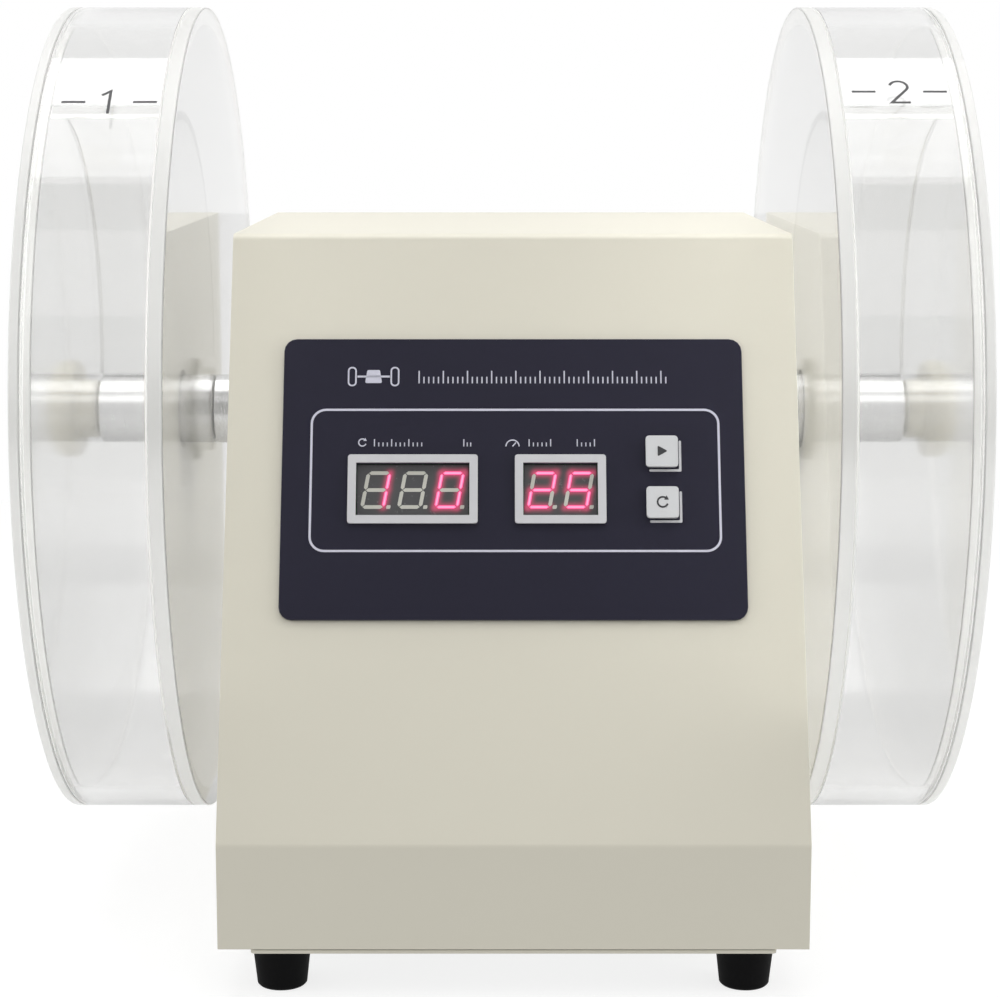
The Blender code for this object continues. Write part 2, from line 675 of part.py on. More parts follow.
def make_feet():
    foot_profile = [
        (FOOT_BORE_RADIUS, FOOT_HEIGHT),
        (FOOT_TOP_RADIUS - FOOT_EDGE, FOOT_HEIGHT),
        (FOOT_TOP_RADIUS, FOOT_HEIGHT - FOOT_EDGE),
        (FOOT_BOTTOM_RADIUS, FOOT_EDGE),
        (FOOT_BOTTOM_RADIUS - FOOT_EDGE, 0),
        (FOOT_RECESS_RADIUS, 0),
        (FOOT_RECESS_RADIUS, FOOT_RECESS_DEPTH),
        (FOOT_BORE_RADIUS, FOOT_RECESS_DEPTH),
    ]
    seat = FOOT_RECESS_DEPTH - GAP
    screw_end = COVER_FLOOR + FOOT_SCREW_END
    screw_profile = [
        (0, screw_end),
        (FOOT_SCREW_RADIUS, screw_end),
        (FOOT_SCREW_RADIUS, seat),
        (FOOT_SCREW_HEAD_RADIUS, seat),
        (FOOT_SCREW_HEAD_RADIUS, seat - FOOT_SCREW_HEAD),
        (0, seat - FOOT_SCREW_HEAD),
    ]
    for where, (x, y) in FOOT_PLACES.items():
        foot = turned("foot_" + where, foot_profile, SHAFT_SIDES, ring=True)
        finish(foot, BLACK_RUBBER, HOUSING, (x, y, 0))
        screw = turned("foot_screw_" + where, screw_profile, SMALL_SIDES)
        finish(screw, ZINC_STEEL, HOUSING, (x, y, 0))


def make_rear_panel():
    width = HOUSING_WIDTH - 2 * HOUSING_SHEET - 2 * GAP
    height = TOP_Z - COVER_BOTTOM - 2 * HOUSING_SHEET - 2 * GAP
    middle = (0, (TOP_Z + COVER_BOTTOM) / 2)
    holes = [
        rectangle(INLET_BODY_WIDTH + 2 * GAP, INLET_BODY_HEIGHT + 2 * GAP, 0, INLET_PLACE),
        rectangle(SWITCH_BODY[0] + 2 * GAP, SWITCH_BODY[1] + 2 * GAP, 0, SWITCH_PLACE),
        circle(FUSE_NECK_RADIUS + GAP, SMALL_SIDES, FUSE_PLACE),
    ]
    for place in REAR_SCREW_PLACES.values():
        holes.append(circle(REAR_SCREW_RADIUS + GAP, SMALL_SIDES, place))
    for row in range(VENT_COUNT):
        vent_z = TOP_Z - VENT_BELOW_TOP - row * VENT_PITCH
        holes.append(rectangle(VENT_WIDTH, VENT_HEIGHT, VENT_HEIGHT / 2 - GAP, (0, vent_z), VENT_STEPS))
    panel = plate("rear_panel", [rectangle(width, height, 0, middle), *holes], REAR_SHEET)
    finish(panel, CREAM_PAINT, REAR, (0, 0, -REAR_SHEET / 2))


def make_rear_screws():
    head_seat = GAP
    profile = [
        (0, head_seat + REAR_SCREW_HEAD),
        (REAR_SCREW_HEAD_RADIUS * REAR_SCREW_CROWN_SHARE, head_seat + REAR_SCREW_HEAD),
        (REAR_SCREW_HEAD_RADIUS, head_seat + REAR_SCREW_HEAD / 2),
        (REAR_SCREW_HEAD_RADIUS, head_seat),
        (REAR_SCREW_RADIUS, head_seat),
        (REAR_SCREW_RADIUS, head_seat - REAR_SCREW_LENGTH),
        (0, head_seat - REAR_SCREW_LENGTH),
    ]
    for where, (x, z) in REAR_SCREW_PLACES.items():
        screw = turned("rear_screw_" + where, profile, SMALL_SIDES)
        finish(screw, ZINC_STEEL, REAR, (x, z, 0))


def make_power_inlet():
    """The mains socket: a flange outside, a body through the panel and three flat pins."""
    width = INLET_BODY_WIDTH + 2 * INLET_EAR
    outline = rectangle(width, INLET_BODY_HEIGHT + 2 * INLET_LIP, INLET_CORNER)
    inlet = plate("power_inlet", [outline], INLET_FLANGE_SHEET)
    face = INLET_FLANGE_SHEET / 2
    finish(inlet, BLACK_PLASTIC, REAR, (*INLET_PLACE, GAP + face))
    body_depth = INLET_SOCKET_DEPTH + INLET_BACK
    body = box(
        "inlet_body",
        (INLET_BODY_WIDTH, INLET_BODY_HEIGHT, body_depth),
        (0, 0, face - GAP - body_depth / 2),
    )
    combine(inlet, as_cutter(body, inlet), "UNION")
    socket_outline = rectangle(
        INLET_BODY_WIDTH - 2 * INLET_WALL, INLET_BODY_HEIGHT - 2 * INLET_WALL, INLET_CORNER
    )
    socket = plate("inlet_socket", [socket_outline], INLET_SOCKET_DEPTH + OVERRUN)
    socket_middle = face + (OVERRUN - INLET_SOCKET_DEPTH) / 2
    combine(inlet, as_cutter(socket, inlet, (0, 0, socket_middle)))
    pin_width, pin_height, pin_length = INLET_PIN
    floor = face - INLET_SOCKET_DEPTH
    places = [
        (-INLET_PIN_SPREAD, -INLET_PIN_STEP),
        (0, INLET_PIN_STEP),
        (INLET_PIN_SPREAD, -INLET_PIN_STEP),
    ]
    for number, (x, y) in enumerate(places, start=1):
        pin = box(
            f"inlet_pin_{number}",
            (pin_width, pin_height, pin_length + HOUSING_SHEET),
            (x, y, floor + (pin_length - HOUSING_SHEET) / 2),
        )
        combine(inlet, as_cutter(pin, inlet), "UNION")


def make_power_switch():
    body_width, body_height, body_depth = SWITCH_BODY
    outline = rectangle(
        body_width + 2 * SWITCH_SIDE_LIP, body_height + 2 * SWITCH_END_LIP, SWITCH_WALL / 2
    )
    frame = plate("power_switch_frame", [outline], SWITCH_FLANGE_SHEET)
    face = SWITCH_FLANGE_SHEET / 2
    finish(frame, BLACK_PLASTIC, REAR, (*SWITCH_PLACE, GAP + face))
    body = box("switch_body", SWITCH_BODY, (0, 0, face - GAP - body_depth / 2))
    combine(frame, as_cutter(body, frame), "UNION")
    mouth_width = body_width - 2 * SWITCH_WALL
    mouth_height = body_height - 2 * SWITCH_WALL
    mouth_depth = ROCKER_DEPTH + 3 * ROCKER_RISE
    mouth = box("switch_mouth", (mouth_width, mouth_height, mouth_depth + OVERRUN))
    combine(frame, as_cutter(mouth, frame, (0, 0, face + (OVERRUN - mouth_depth) / 2)))
    make_rocker(mouth_width - 2 * GAP, mouth_height - 4 * GAP, GAP + SWITCH_FLANGE_SHEET)


def make_rocker(width, height, face):
    """A rocker that stands tilted at rest, pressed at its lower end."""
    half = height / 2
    low = -ROCKER_DEPTH
    outline = [
        (-half * ROCKER_FOOT_SHARE, low),
        (half * ROCKER_FOOT_SHARE, low),
        (half, -GAP),
        (half, ROCKER_RISE),
        (0, ROCKER_RISE * ROCKER_WAIST_SHARE),
        (-half, ROCKER_RISE),
        (-half, -GAP),
    ]
    rocker = plate("power_rocker", [outline], width)
    pivot = make_empty("rocker_axis", (*SWITCH_PLACE, face - GAP), None, REAR)
    finish(rocker, BLACK_PLASTIC, pivot, (0, 0, 0), Matrix.Rotation(ROCKER_TILT, 4, "X") @ ALONG_X)


def make_fuse_holder():
    cap = GAP + FUSE_CAP_LENGTH
    profile = [
        (0, cap),
        (FUSE_CAP_RADIUS - FUSE_CAP_EDGE, cap),
        (FUSE_CAP_RADIUS, cap - FUSE_CAP_EDGE),
        (FUSE_CAP_RADIUS, GAP),
        (FUSE_NECK_RADIUS, GAP),
        (FUSE_NECK_RADIUS, GAP - FUSE_NECK_LENGTH),
        (0, GAP - FUSE_NECK_LENGTH),
    ]
    holder = turned("fuse_holder", profile, SMALL_SIDES)
    finish(holder, BLACK_PLASTIC, REAR, (*FUSE_PLACE, 0))


def display_outline(face_width, middle, growth):
    return rectangle(
        face_width + 2 * growth,
        DISPLAY_FACE_HEIGHT + 2 * growth,
        BEZEL_CORNER if growth > 0 else 0,
        (middle, DISPLAY_MIDDLE),
    )


def make_control_panel():
    outline = rectangle(PANEL_WIDTH, PANEL_HEIGHT, PANEL_CORNER, (0, PANEL_MIDDLE))
    holes = [
        display_outline(COUNTER_FACE_WIDTH, COUNTER_MIDDLE, 0),
        display_outline(SPEED_FACE_WIDTH, SPEED_MIDDLE, 0),
        circle(KEY_STEM_RADIUS + GAP, SMALL_SIDES, (KEY_ACROSS, START_KEY_UP)),
        circle(KEY_STEM_RADIUS + GAP, SMALL_SIDES, (KEY_ACROSS, RESET_KEY_UP)),
    ]
    panel = plate("control_panel", [outline, *holes], PANEL_SHEET)
    finish(panel, NAVY_FILM, SLOPE, (0, 0, GAP + PANEL_SHEET / 2))


def make_displays():
    """Each display block stands behind its window, with a raised frame round the window."""
    panel_face = GAP + PANEL_SHEET
    for name, middle, width in (
        ("counter", COUNTER_MIDDLE, COUNTER_FACE_WIDTH),
        ("speed", SPEED_MIDDLE, SPEED_FACE_WIDTH),
    ):
        bezel = plate(
            name + "_bezel",
            [display_outline(width, middle, BEZEL_RIM), display_outline(width, middle, 0)],
            BEZEL_PROUD,
        )
        bevel(bezel, BEZEL_PROUD * BEZEL_EDGE_SHARE)
        finish(bezel, GREY_PLASTIC, SLOPE, (0, 0, panel_face + GAP + BEZEL_PROUD / 2))
        block = box(
            name + "_display",
            (width - 2 * GAP, DISPLAY_FACE_HEIGHT - 2 * GAP, DISPLAY_DEPTH),
        )
        depth_middle = panel_face - DISPLAY_SUNK - DISPLAY_DEPTH / 2
        finish(block, DISPLAY_FACE, SLOPE, (middle, DISPLAY_MIDDLE, depth_middle))


def make_display_board():
    """The board behind the displays, with posts that reach the back of the housing's slope."""
    face = GAP + PANEL_SHEET - DISPLAY_SUNK - DISPLAY_DEPTH - GAP
    outline = rectangle(DISPLAY_BOARD_WIDTH, DISPLAY_BOARD_HEIGHT, BEZEL_CORNER)
    board = plate("display_board", [outline], BOARD_SHEET)
    finish(board, GREEN_BOARD, SLOPE, (0, WINDOW_MIDDLE, face - BOARD_SHEET / 2))
    across = DISPLAY_BOARD_WIDTH / 2 - POST_INSET
    up = DISPLAY_BOARD_HEIGHT / 2 - POST_INSET
    places = [(x, y) for x in (-across, across) for y in (-up, up)]
    post_top = -HOUSING_SHEET - GAP - face + BOARD_SHEET / 2
    posts = rods("display_board_posts", POST_RADIUS, 0, post_top, places)
    combine(board, as_cutter(posts, board), "UNION")
    return face


def make_keys(board_face):
    """Square keys on the panel; each stem reaches down to its switch on the board."""
    panel_face = GAP + PANEL_SHEET
    under = panel_face + KEY_TRAVEL + GAP
    top = panel_face + KEY_PROUD + KEY_TRAVEL
    switch_top = board_face + GAP + KEY_SWITCH[2]
    for name, up in (("start", START_KEY_UP), ("reset", RESET_KEY_UP)):
        axis = make_empty(name + "_key_axis", (KEY_ACROSS, up, 0), None, SLOPE)
        key = plate(
            name + "_key", [rectangle(KEY_SIDE, KEY_SIDE, KEY_CORNER)], top - under
        )
        finish(key, KEY_PLASTIC, axis, (0, 0, (top + under) / 2))
        bevel(key, GAP)
        stem_top = (under + top) / 2
        stem = rods(
            name + "_key_stem",
            KEY_STEM_RADIUS,
            switch_top + KEY_TRAVEL + GAP,
            stem_top,
            [(0, 0)],
        )
        combine(key, as_cutter(stem, axis), "UNION")
        switch = box(name + "_switch", KEY_SWITCH)
        bevel(switch, GAP, 1)
        middle = (KEY_ACROSS, up, board_face + GAP + KEY_SWITCH[2] / 2)
        finish(switch, BLACK_PLASTIC, SLOPE, middle)


def make_bearing_supports():
    """A standing plate on each side with a foot on the base plate and a boss for its bearing."""
    rise = SPINDLE_Z - BASE_TOP - GAP
    half = SUPPORT_WIDTH / 2
    boss_radius = BEARING_RADIUS + GAP + SUPPORT_BOSS_WALL
    corners = [
        (-half, 0),
        (half, 0),
        (half, SUPPORT_FOOT),
        (SUPPORT_TOP_RADIUS, rise + SUPPORT_TOP_RADIUS),
        (-SUPPORT_TOP_RADIUS, rise + SUPPORT_TOP_RADIUS),
        (-half, SUPPORT_FOOT),
    ]
    radii = [0, 0, SUPPORT_FOOT / 2, SUPPORT_FOOT, SUPPORT_FOOT, SUPPORT_FOOT / 2]
    for side, sign in SIDES.items():
        bore = circle(SHOULDER_RADIUS, SHAFT_SIDES, (0, rise))
        support = plate(
            f"bearing_support_{side}", [rounded(corners, radii), bore], SUPPORT_SHEET
        )
        middle = sign * (SUPPORT_FACE - SUPPORT_SHEET / 2)
        finish(support, CAST_ALUMINIUM, HOUSING, (middle, 0, BASE_TOP + GAP), ALONG_X)
        foot = box(
            f"support_foot_{side}",
            (SUPPORT_WIDTH, SUPPORT_SHEET, SUPPORT_FOOT),
            (0, SUPPORT_SHEET / 2, -sign * SUPPORT_FOOT / 2),
        )
        combine(support, as_cutter(foot, support), "UNION")
        boss_start = SUPPORT_SHEET / 2 - GAP
        boss_end = SUPPORT_SHEET / 2 + SUPPORT_BOSS_LENGTH
        boss_profile = [
            (BEARING_RADIUS + GAP, boss_end),
            (boss_radius, boss_end),
            (boss_radius, boss_start),
            (BEARING_RADIUS + GAP, boss_start),
        ]
        boss = turned(f"support_boss_{side}", boss_profile, ring=True)
        flip = Matrix.Rotation(math.pi, 4, "Y") if sign < 0 else Matrix()
        combine(support, as_cutter(boss, support, (0, rise, 0), flip), "UNION")


def make_bearings():
    inner = SPINDLE_RADIUS + GAP
    half = BEARING_WIDTH / 2
    sunk = half - BEARING_SHIELD_SUNK
    profile = [
        (inner, half),
        (inner + BEARING_RACE, half),
        (inner + BEARING_RACE, sunk),
        (BEARING_RADIUS - BEARING_RACE, sunk),
        (BEARING_RADIUS - BEARING_RACE, half),
        (BEARING_RADIUS, half),
        (BEARING_RADIUS, -half),
        (BEARING_RADIUS - BEARING_RACE, -half),
        (BEARING_RADIUS - BEARING_RACE, -sunk),
        (inner + BEARING_RACE, -sunk),
        (inner + BEARING_RACE, -half),
        (inner, -half),
    ]
    for side, sign in SIDES.items():
        bearing = turned(f"bearing_{side}", profile, ring=True)
        middle = sign * BEARING_SPREAD
        finish(bearing, BEARING_STEEL, HOUSING, (middle, 0, SPINDLE_Z), ALONG_X)


def seat_flat_cutter(name, radius_gap, low, high):
    """A block that leaves a flat along the seat, or along the bore that slides on it."""
    flat = SEAT_FLAT + radius_gap
    width = 2 * SHOULDER_RADIUS
    return box(name, (width, width, high - low), (0, flat + width / 2, (low + high) / 2))


def make_spindle():
    """One turned shaft: bearing seats, thick shoulders, drum seats with a flat, and studs."""
    right = BEARING_OUTER_FACE + GAP + HOUSING_SHIFT
    left = -BEARING_OUTER_FACE - GAP + HOUSING_SHIFT
    shoulder = DRUM_STANDOFF - GAP
    outer = [
        (0, STUD_END),
        (STUD_RADIUS - STUD_CHAMFER, STUD_END),
        (STUD_RADIUS, STUD_END - STUD_CHAMFER),
        (STUD_RADIUS, SEAT_END),
        (SEAT_RADIUS, SEAT_END),
        (SEAT_RADIUS, shoulder),
        (SHOULDER_RADIUS, shoulder),
    ]
    profile = outer + [
        (SHOULDER_RADIUS, right),
        (SPINDLE_RADIUS, right),
        (SPINDLE_RADIUS, left),
        (SHOULDER_RADIUS, left),
    ]
    profile += [(radius, -height) for radius, height in reversed(outer)]
    spindle = turned("spindle", profile)
    finish(spindle, BRIGHT_STEEL, SPINDLE_AXIS, turn=ALONG_X)
    for side, sign in SIDES.items():
        low, high = sorted((sign * shoulder, sign * (SEAT_END + OVERRUN)))
        flat = seat_flat_cutter(f"seat_flat_{side}", 0, low, high)
        combine(spindle, as_cutter(flat, spindle))


def gear_outline(teeth, start):
    """Straight-sided teeth, thinned by the backlash, with their tips on the addendum circle."""
    pitch_radius = GEAR_MODULE * teeth / 2
    tip_radius = pitch_radius + GEAR_MODULE
    root_radius = pitch_radius - DEDENDUM_SHARE * GEAR_MODULE
    half_pitch = math.pi * GEAR_MODULE / 4 - GEAR_BACKLASH / 2
    half_tip = half_pitch - math.tan(PRESSURE_ANGLE) * GEAR_MODULE
    half_root = half_pitch + math.tan(PRESSURE_ANGLE) * DEDENDUM_SHARE * GEAR_MODULE
    outline = []
    for tooth in range(teeth):
        middle = start + math.tau * tooth / teeth
        for radius, half in (
            (root_radius, -half_root),
            (tip_radius, -half_tip),
            (tip_radius, half_tip),
            (root_radius, half_root),
        ):
            angle = middle + half / radius
            outline.append((radius * math.cos(angle), radius * math.sin(angle)))
    return outline


def make_drive_gear():
    bore = circle(SPINDLE_RADIUS + GAP, SHAFT_SIDES)
    hole_circle = (GEAR_BOSS_RADIUS + GEAR_MODULE * GEAR_TEETH / 2 - 2 * GEAR_MODULE) / 2
    holes = [
        circle(
            GEAR_HOLE_RADIUS,
            SMALL_SIDES,
            (
                hole_circle * math.cos(math.tau * i / GEAR_HOLE_COUNT),
                hole_circle * math.sin(math.tau * i / GEAR_HOLE_COUNT),
            ),
        )
        for i in range(GEAR_HOLE_COUNT)
    ]
    gear = plate("drive_gear", [gear_outline(GEAR_TEETH, 0), bore, *holes], GEAR_WIDTH)
    finish(gear, BRASS, SPINDLE_AXIS, (HOUSING_SHIFT + GEAR_PLACE, 0, 0), ALONG_X)
    boss_profile = [
        (SPINDLE_RADIUS + GAP, GEAR_WIDTH / 2 + GEAR_BOSS_LENGTH),
        (GEAR_BOSS_RADIUS, GEAR_WIDTH / 2 + GEAR_BOSS_LENGTH),
        (GEAR_BOSS_RADIUS, GEAR_WIDTH / 2 - GAP),
        (SPINDLE_RADIUS + GAP, GEAR_WIDTH / 2 - GAP),
    ]
    boss = turned("gear_boss", boss_profile, ring=True)
    combine(gear, as_cutter(boss, gear), "UNION")


def make_encoder_disc():
    bore = circle(SPINDLE_RADIUS + GAP, SHAFT_SIDES)
    disc = plate("encoder_disc", [circle(ENCODER_RADIUS, SHAFT_SIDES), bore], ENCODER_SHEET)
    place = (HOUSING_SHIFT + ENCODER_PLACE, 0, 0)
    finish(disc, BLACK_PLASTIC, SPINDLE_AXIS, place, ALONG_X)
    slot_width, slot_depth = ENCODER_SLOT
    for i in range(ENCODER_SLOT_COUNT):
        slot = box(
            f"encoder_slot_{i + 1}",
            (2 * slot_depth, slot_width, 2 * OVERRUN),
            (ENCODER_RADIUS, 0, 0),
        )
        turn = Matrix.Rotation(math.tau * (i + 0.5) / ENCODER_SLOT_COUNT, 4, "Z")
        combine(disc, as_cutter(slot, disc, turn=turn))
    boss_profile = [
        (SPINDLE_RADIUS + GAP, -ENCODER_SHEET / 2 + GAP),
        (ENCODER_BOSS_RADIUS, -ENCODER_SHEET / 2 + GAP),
        (ENCODER_BOSS_RADIUS, -ENCODER_SHEET / 2 - ENCODER_BOSS_LENGTH),
        (SPINDLE_RADIUS + GAP, -ENCODER_SHEET / 2 - ENCODER_BOSS_LENGTH),
    ]
    boss = turned("encoder_boss", boss_profile, ring=True)
    combine(disc, as_cutter(boss, disc), "UNION")


def make_sensor():
    """A fork round the encoder disc's rear edge, carried by the left bearing support."""
    seat = GAP - SUPPORT_INNER_FACE
    throat_low = ENCODER_PLACE - SENSOR_THROAT / 2
    throat_high = ENCODER_PLACE + SENSOR_THROAT / 2
    near = ENCODER_BOSS_RADIUS + SENSOR_TO_BOSS
    root = ENCODER_RADIUS + GAP + SENSOR_ARM / 2
    far = root + SENSOR_BACK
    outline = [
        (seat, near),
        (throat_low, near),
        (throat_low, root),
        (throat_high, root),
        (throat_high, near),
        (throat_high + SENSOR_ARM, near),
        (throat_high + SENSOR_ARM, far),
        (seat, far),
    ]
    sensor = plate("revolution_sensor", [outline], SENSOR_HEIGHT)
    finish(sensor, BLACK_PLASTIC, HOUSING, (0, 0, SPINDLE_Z))


def make_gear_motor():
    """The motor behind its gearbox, face to a bracket that stands on the base plate."""
    face = MOTOR_FACE
    gearbox_profile = [
        (OUTPUT_SHAFT_RADIUS + GAP, face),
        (GEARBOX_RADIUS - MOTOR_EDGE, face),
        (GEARBOX_RADIUS, face - MOTOR_EDGE),
        (GEARBOX_RADIUS, face - GEARBOX_LENGTH),
        (0, face - GEARBOX_LENGTH),
        (0, face - OUTPUT_SHAFT_SUNK),
        (OUTPUT_SHAFT_RADIUS + GAP, face - OUTPUT_SHAFT_SUNK),
    ]
    gearbox = turned("gearbox", gearbox_profile, ring=True)
    finish(gearbox, CAST_ALUMINIUM, MOTOR_AXIS, turn=ALONG_X)
    motor_end = MOTOR_FRONT - MOTOR_LENGTH
    motor_profile = [
        (0, MOTOR_FRONT),
        (MOTOR_RADIUS, MOTOR_FRONT),
        (MOTOR_RADIUS, motor_end + MOTOR_EDGE),
        (MOTOR_RADIUS - MOTOR_EDGE, motor_end),
        (0, motor_end),
    ]
    motor = turned("motor", motor_profile)
    finish(motor, MOTOR_STEEL, MOTOR_AXIS, turn=ALONG_X)


def make_motor_bracket():
    rise = MOTOR_Z - BASE_TOP - GAP
    half = BRACKET_WIDTH / 2
    top = rise + GEARBOX_RADIUS
    corners = [(-half, 0), (half, 0), (half, top), (-half, top)]
    outline = rounded(corners, [0, 0, BRACKET_FOOT, BRACKET_FOOT])
    hole = circle(BRACKET_HOLE_RADIUS, SHAFT_SIDES, (0, rise))
    bracket = plate("motor_bracket", [outline, hole], BRACKET_SHEET)
    middle = MOTOR_FACE + GAP + BRACKET_SHEET / 2
    finish(bracket, ZINC_STEEL, HOUSING, (middle, 0, BASE_TOP + GAP), ALONG_X)
    foot = box(
        "bracket_foot",
        (BRACKET_WIDTH, BRACKET_SHEET, BRACKET_FOOT),
        (0, BRACKET_SHEET / 2, -BRACKET_FOOT / 2),
    )
    combine(bracket, as_cutter(foot, bracket), "UNION")


def make_pinion():
    end = GEAR_PLACE + GEAR_WIDTH / 2 + OUTPUT_SHAFT_OVERHANG
    start = MOTOR_FACE - OUTPUT_SHAFT_SUNK + GAP
    shaft_profile = [
        (0, end),
        (OUTPUT_SHAFT_RADIUS, end),
        (OUTPUT_SHAFT_RADIUS, start),
        (0, start),
    ]
    shaft = turned("output_shaft", shaft_profile, SMALL_SIDES)
    finish(shaft, BRIGHT_STEEL, MOTOR_AXIS, turn=ALONG_X)
    bore = circle(OUTPUT_SHAFT_RADIUS + GAP, SMALL_SIDES)
    half_tooth = math.pi / PINION_TEETH
    pinion = plate("motor_pinion", [gear_outline(PINION_TEETH, half_tooth), bore], GEAR_WIDTH)
    finish(pinion, BRASS, MOTOR_AXIS, (GEAR_PLACE, 0, 0), ALONG_X)


def make_main_board():
    width, depth = MAIN_BOARD
    board = plate("main_board", [rectangle(width, depth)], BOARD_SHEET)
    bottom = BASE_TOP + GAP
    middle = bottom + MAIN_BOARD_POST + BOARD_SHEET / 2
    finish(board, GREEN_BOARD, HOUSING, (0, MAIN_BOARD_Y, middle))
    across = width / 2 - POST_INSET
    along = depth / 2 - POST_INSET
    places = [(x, y) for x in (-across, across) for y in (-along, along)]
    posts = rods("main_board_posts", POST_RADIUS, bottom - middle, 0, places)
    combine(board, as_cutter(posts, board), "UNION")
    capacitors = rods(
        "main_board_capacitors",
        CAPACITOR_RADIUS,
        0,
        CAPACITOR_HEIGHT,
        CAPACITOR_PLACES,
    )
    combine(board, as_cutter(capacitors, board), "UNION")
    relay = box("main_board_relay", RELAY, (*RELAY_PLACE, RELAY[2] / 2))
    combine(board, as_cutter(relay, board), "UNION")
    sink = box("main_board_heat_sink", HEAT_SINK, (*HEAT_SINK_PLACE, HEAT_SINK[2] / 2))
    combine(board, as_cutter(sink, board), "UNION")


def make_transformer():
    """A laminated core with its coil through it, on a mounting strap."""
    core = box("transformer", IRON_CORE)
    middle = BASE_TOP + GAP + IRON_CORE[2] / 2
    finish(core, MOTOR_STEEL, HOUSING, (-IRON_CORE_LEFT, IRON_CORE_Y, middle))
    coil = box("transformer_coil", WINDING)
    combine(core, as_cutter(coil, core), "UNION")
    strap = box("transformer_strap", CORE_STRAP)
    strap_z = (CORE_STRAP[2] - IRON_CORE[2]) / 2
    combine(core, as_cutter(strap, core, (0, 0, strap_z)), "UNION")


def turned_outward(name, profile, sign, sides=SHAFT_SIDES, ring=True):
    """A turned piece whose heights are distances from the middle plane, outer end first."""
    if sign < 0:
        profile = [(radius, -height) for radius, height in reversed(profile)]
    return turned(name, profile, sides, ring)


def make_drum_shell(side, sign, axis):
    disc_profile = [
        (HUB_SPIGOT_RADIUS + GAP, BACK_DISC_FACE),
        (DRUM_RADIUS, BACK_DISC_FACE),
        (DRUM_RADIUS, DRUM_STANDOFF),
        (HUB_SPIGOT_RADIUS + GAP, DRUM_STANDOFF),
    ]
    disc = turned_outward(f"{side}_drum_back_disc", disc_profile, sign, DRUM_SIDES)
    finish(disc, CLEAR_ACRYLIC, axis, turn=ALONG_X)
    rim_low = BACK_DISC_FACE + GAP
    rim_high = COVER_DISC_FACE - GAP
    rim_profile = [
        (DRUM_BORE_RADIUS, rim_high),
        (DRUM_RADIUS, rim_high),
        (DRUM_RADIUS, rim_low),
        (DRUM_BORE_RADIUS, rim_low),
    ]
    rim = turned_outward(f"{side}_drum_rim", rim_profile, sign, DRUM_SIDES)
    finish(rim, CLEAR_ACRYLIC, axis, turn=ALONG_X)


def hub_profile(growth):
    """The hub's outer steps from the covered end inwards, grown by a clearance."""
    collar_end = BACK_DISC_FACE + GAP + HUB_COLLAR_LENGTH
    return [
        (HUB_RING_RADIUS + growth, COVER_STEP_FACE - GAP + growth),
        (HUB_RING_RADIUS + growth, collar_end + growth),
        (HUB_COLLAR_RADIUS + growth, collar_end + growth),
        (HUB_COLLAR_RADIUS + growth, BACK_DISC_FACE + GAP),
    ]


def make_drum_hub(side, sign, axis):
    bore = SEAT_RADIUS + GAP
    profile = [(bore, COVER_STEP_FACE - GAP)]
    profile += hub_profile(0)
    profile += [
        (HUB_SPIGOT_RADIUS, BACK_DISC_FACE + GAP),
        (HUB_SPIGOT_RADIUS, DRUM_STANDOFF),
        (bore, DRUM_STANDOFF),
    ]
    hub = turned_outward(f"{side}_drum_hub", profile, sign)
    finish(hub, BRIGHT_STEEL, axis, turn=ALONG_X)
    make_hub_flat(side, sign, hub)
    washer_low = BACK_DISC_FACE + HUB_COLLAR_LENGTH + 2 * GAP
    washer_high = washer_low + WASHER_SHEET
    washer_profile = [
        (HUB_RING_RADIUS + GAP, washer_high),
        (WASHER_RADIUS, washer_high),
        (WASHER_RADIUS, washer_low),
        (HUB_RING_RADIUS + GAP, washer_low),
    ]
    washer = turned_outward(f"{side}_hub_washer", washer_profile, sign)
    finish(washer, BLACK_RUBBER, axis, turn=ALONG_X)


def make_hub_flat(side, sign, hub):
    """A key bar inside the hub's bore that lies along the flat on the spindle's seat."""
    flat = SEAT_FLAT + GAP
    low, high = sorted((sign * DRUM_STANDOFF, sign * (COVER_STEP_FACE - GAP)))
    key = box(
        f"hub_key_{side}",
        (2 * SEAT_RADIUS, SEAT_RADIUS, high - low),
        (0, flat + SEAT_RADIUS / 2, (low + high) / 2),
    )
    limit = rods(f"hub_key_limit_{side}", HUB_SPIGOT_RADIUS - GAP, low, high, [(0, 0)], SHAFT_SIDES)
    combine(key, as_cutter(limit, hub), "INTERSECT")
    combine(hub, as_cutter(key, hub), "UNION")


def vane_outline():
    """The curved vane as (y, z): an arc from hub to rim that stands off their chord by the bulge."""
    start = Vector((0, HUB_RING_RADIUS))
    end = DRUM_BORE_RADIUS * Vector((-math.cos(VANE_RIM_ANGLE), math.sin(VANE_RIM_ANGLE)))
    chord = end - start
    radius = (chord.length_squared / 4 + VANE_BULGE**2) / (2 * VANE_BULGE)
    across = Vector((-chord.y, chord.x)).normalized()
    middle = (start + end) / 2 + (radius - VANE_BULGE) * across
    first = math.atan2(start.y - middle.y, start.x - middle.x)
    last = math.atan2(end.y - middle.y, end.x - middle.x)
    extra = 2 * VANE_SHEET / radius
    sweep = last - first + 2 * extra
    angles = [first - extra + sweep * i / VANE_STEPS for i in range(VANE_STEPS + 1)]
    outer = radius + VANE_SHEET / 2
    inner = radius - VANE_SHEET / 2
    outline = [(middle.x + outer * math.cos(a), middle.y + outer * math.sin(a)) for a in angles]
    outline += [
        (middle.x + inner * math.cos(a), middle.y + inner * math.sin(a)) for a in reversed(angles)
    ]
    return outline


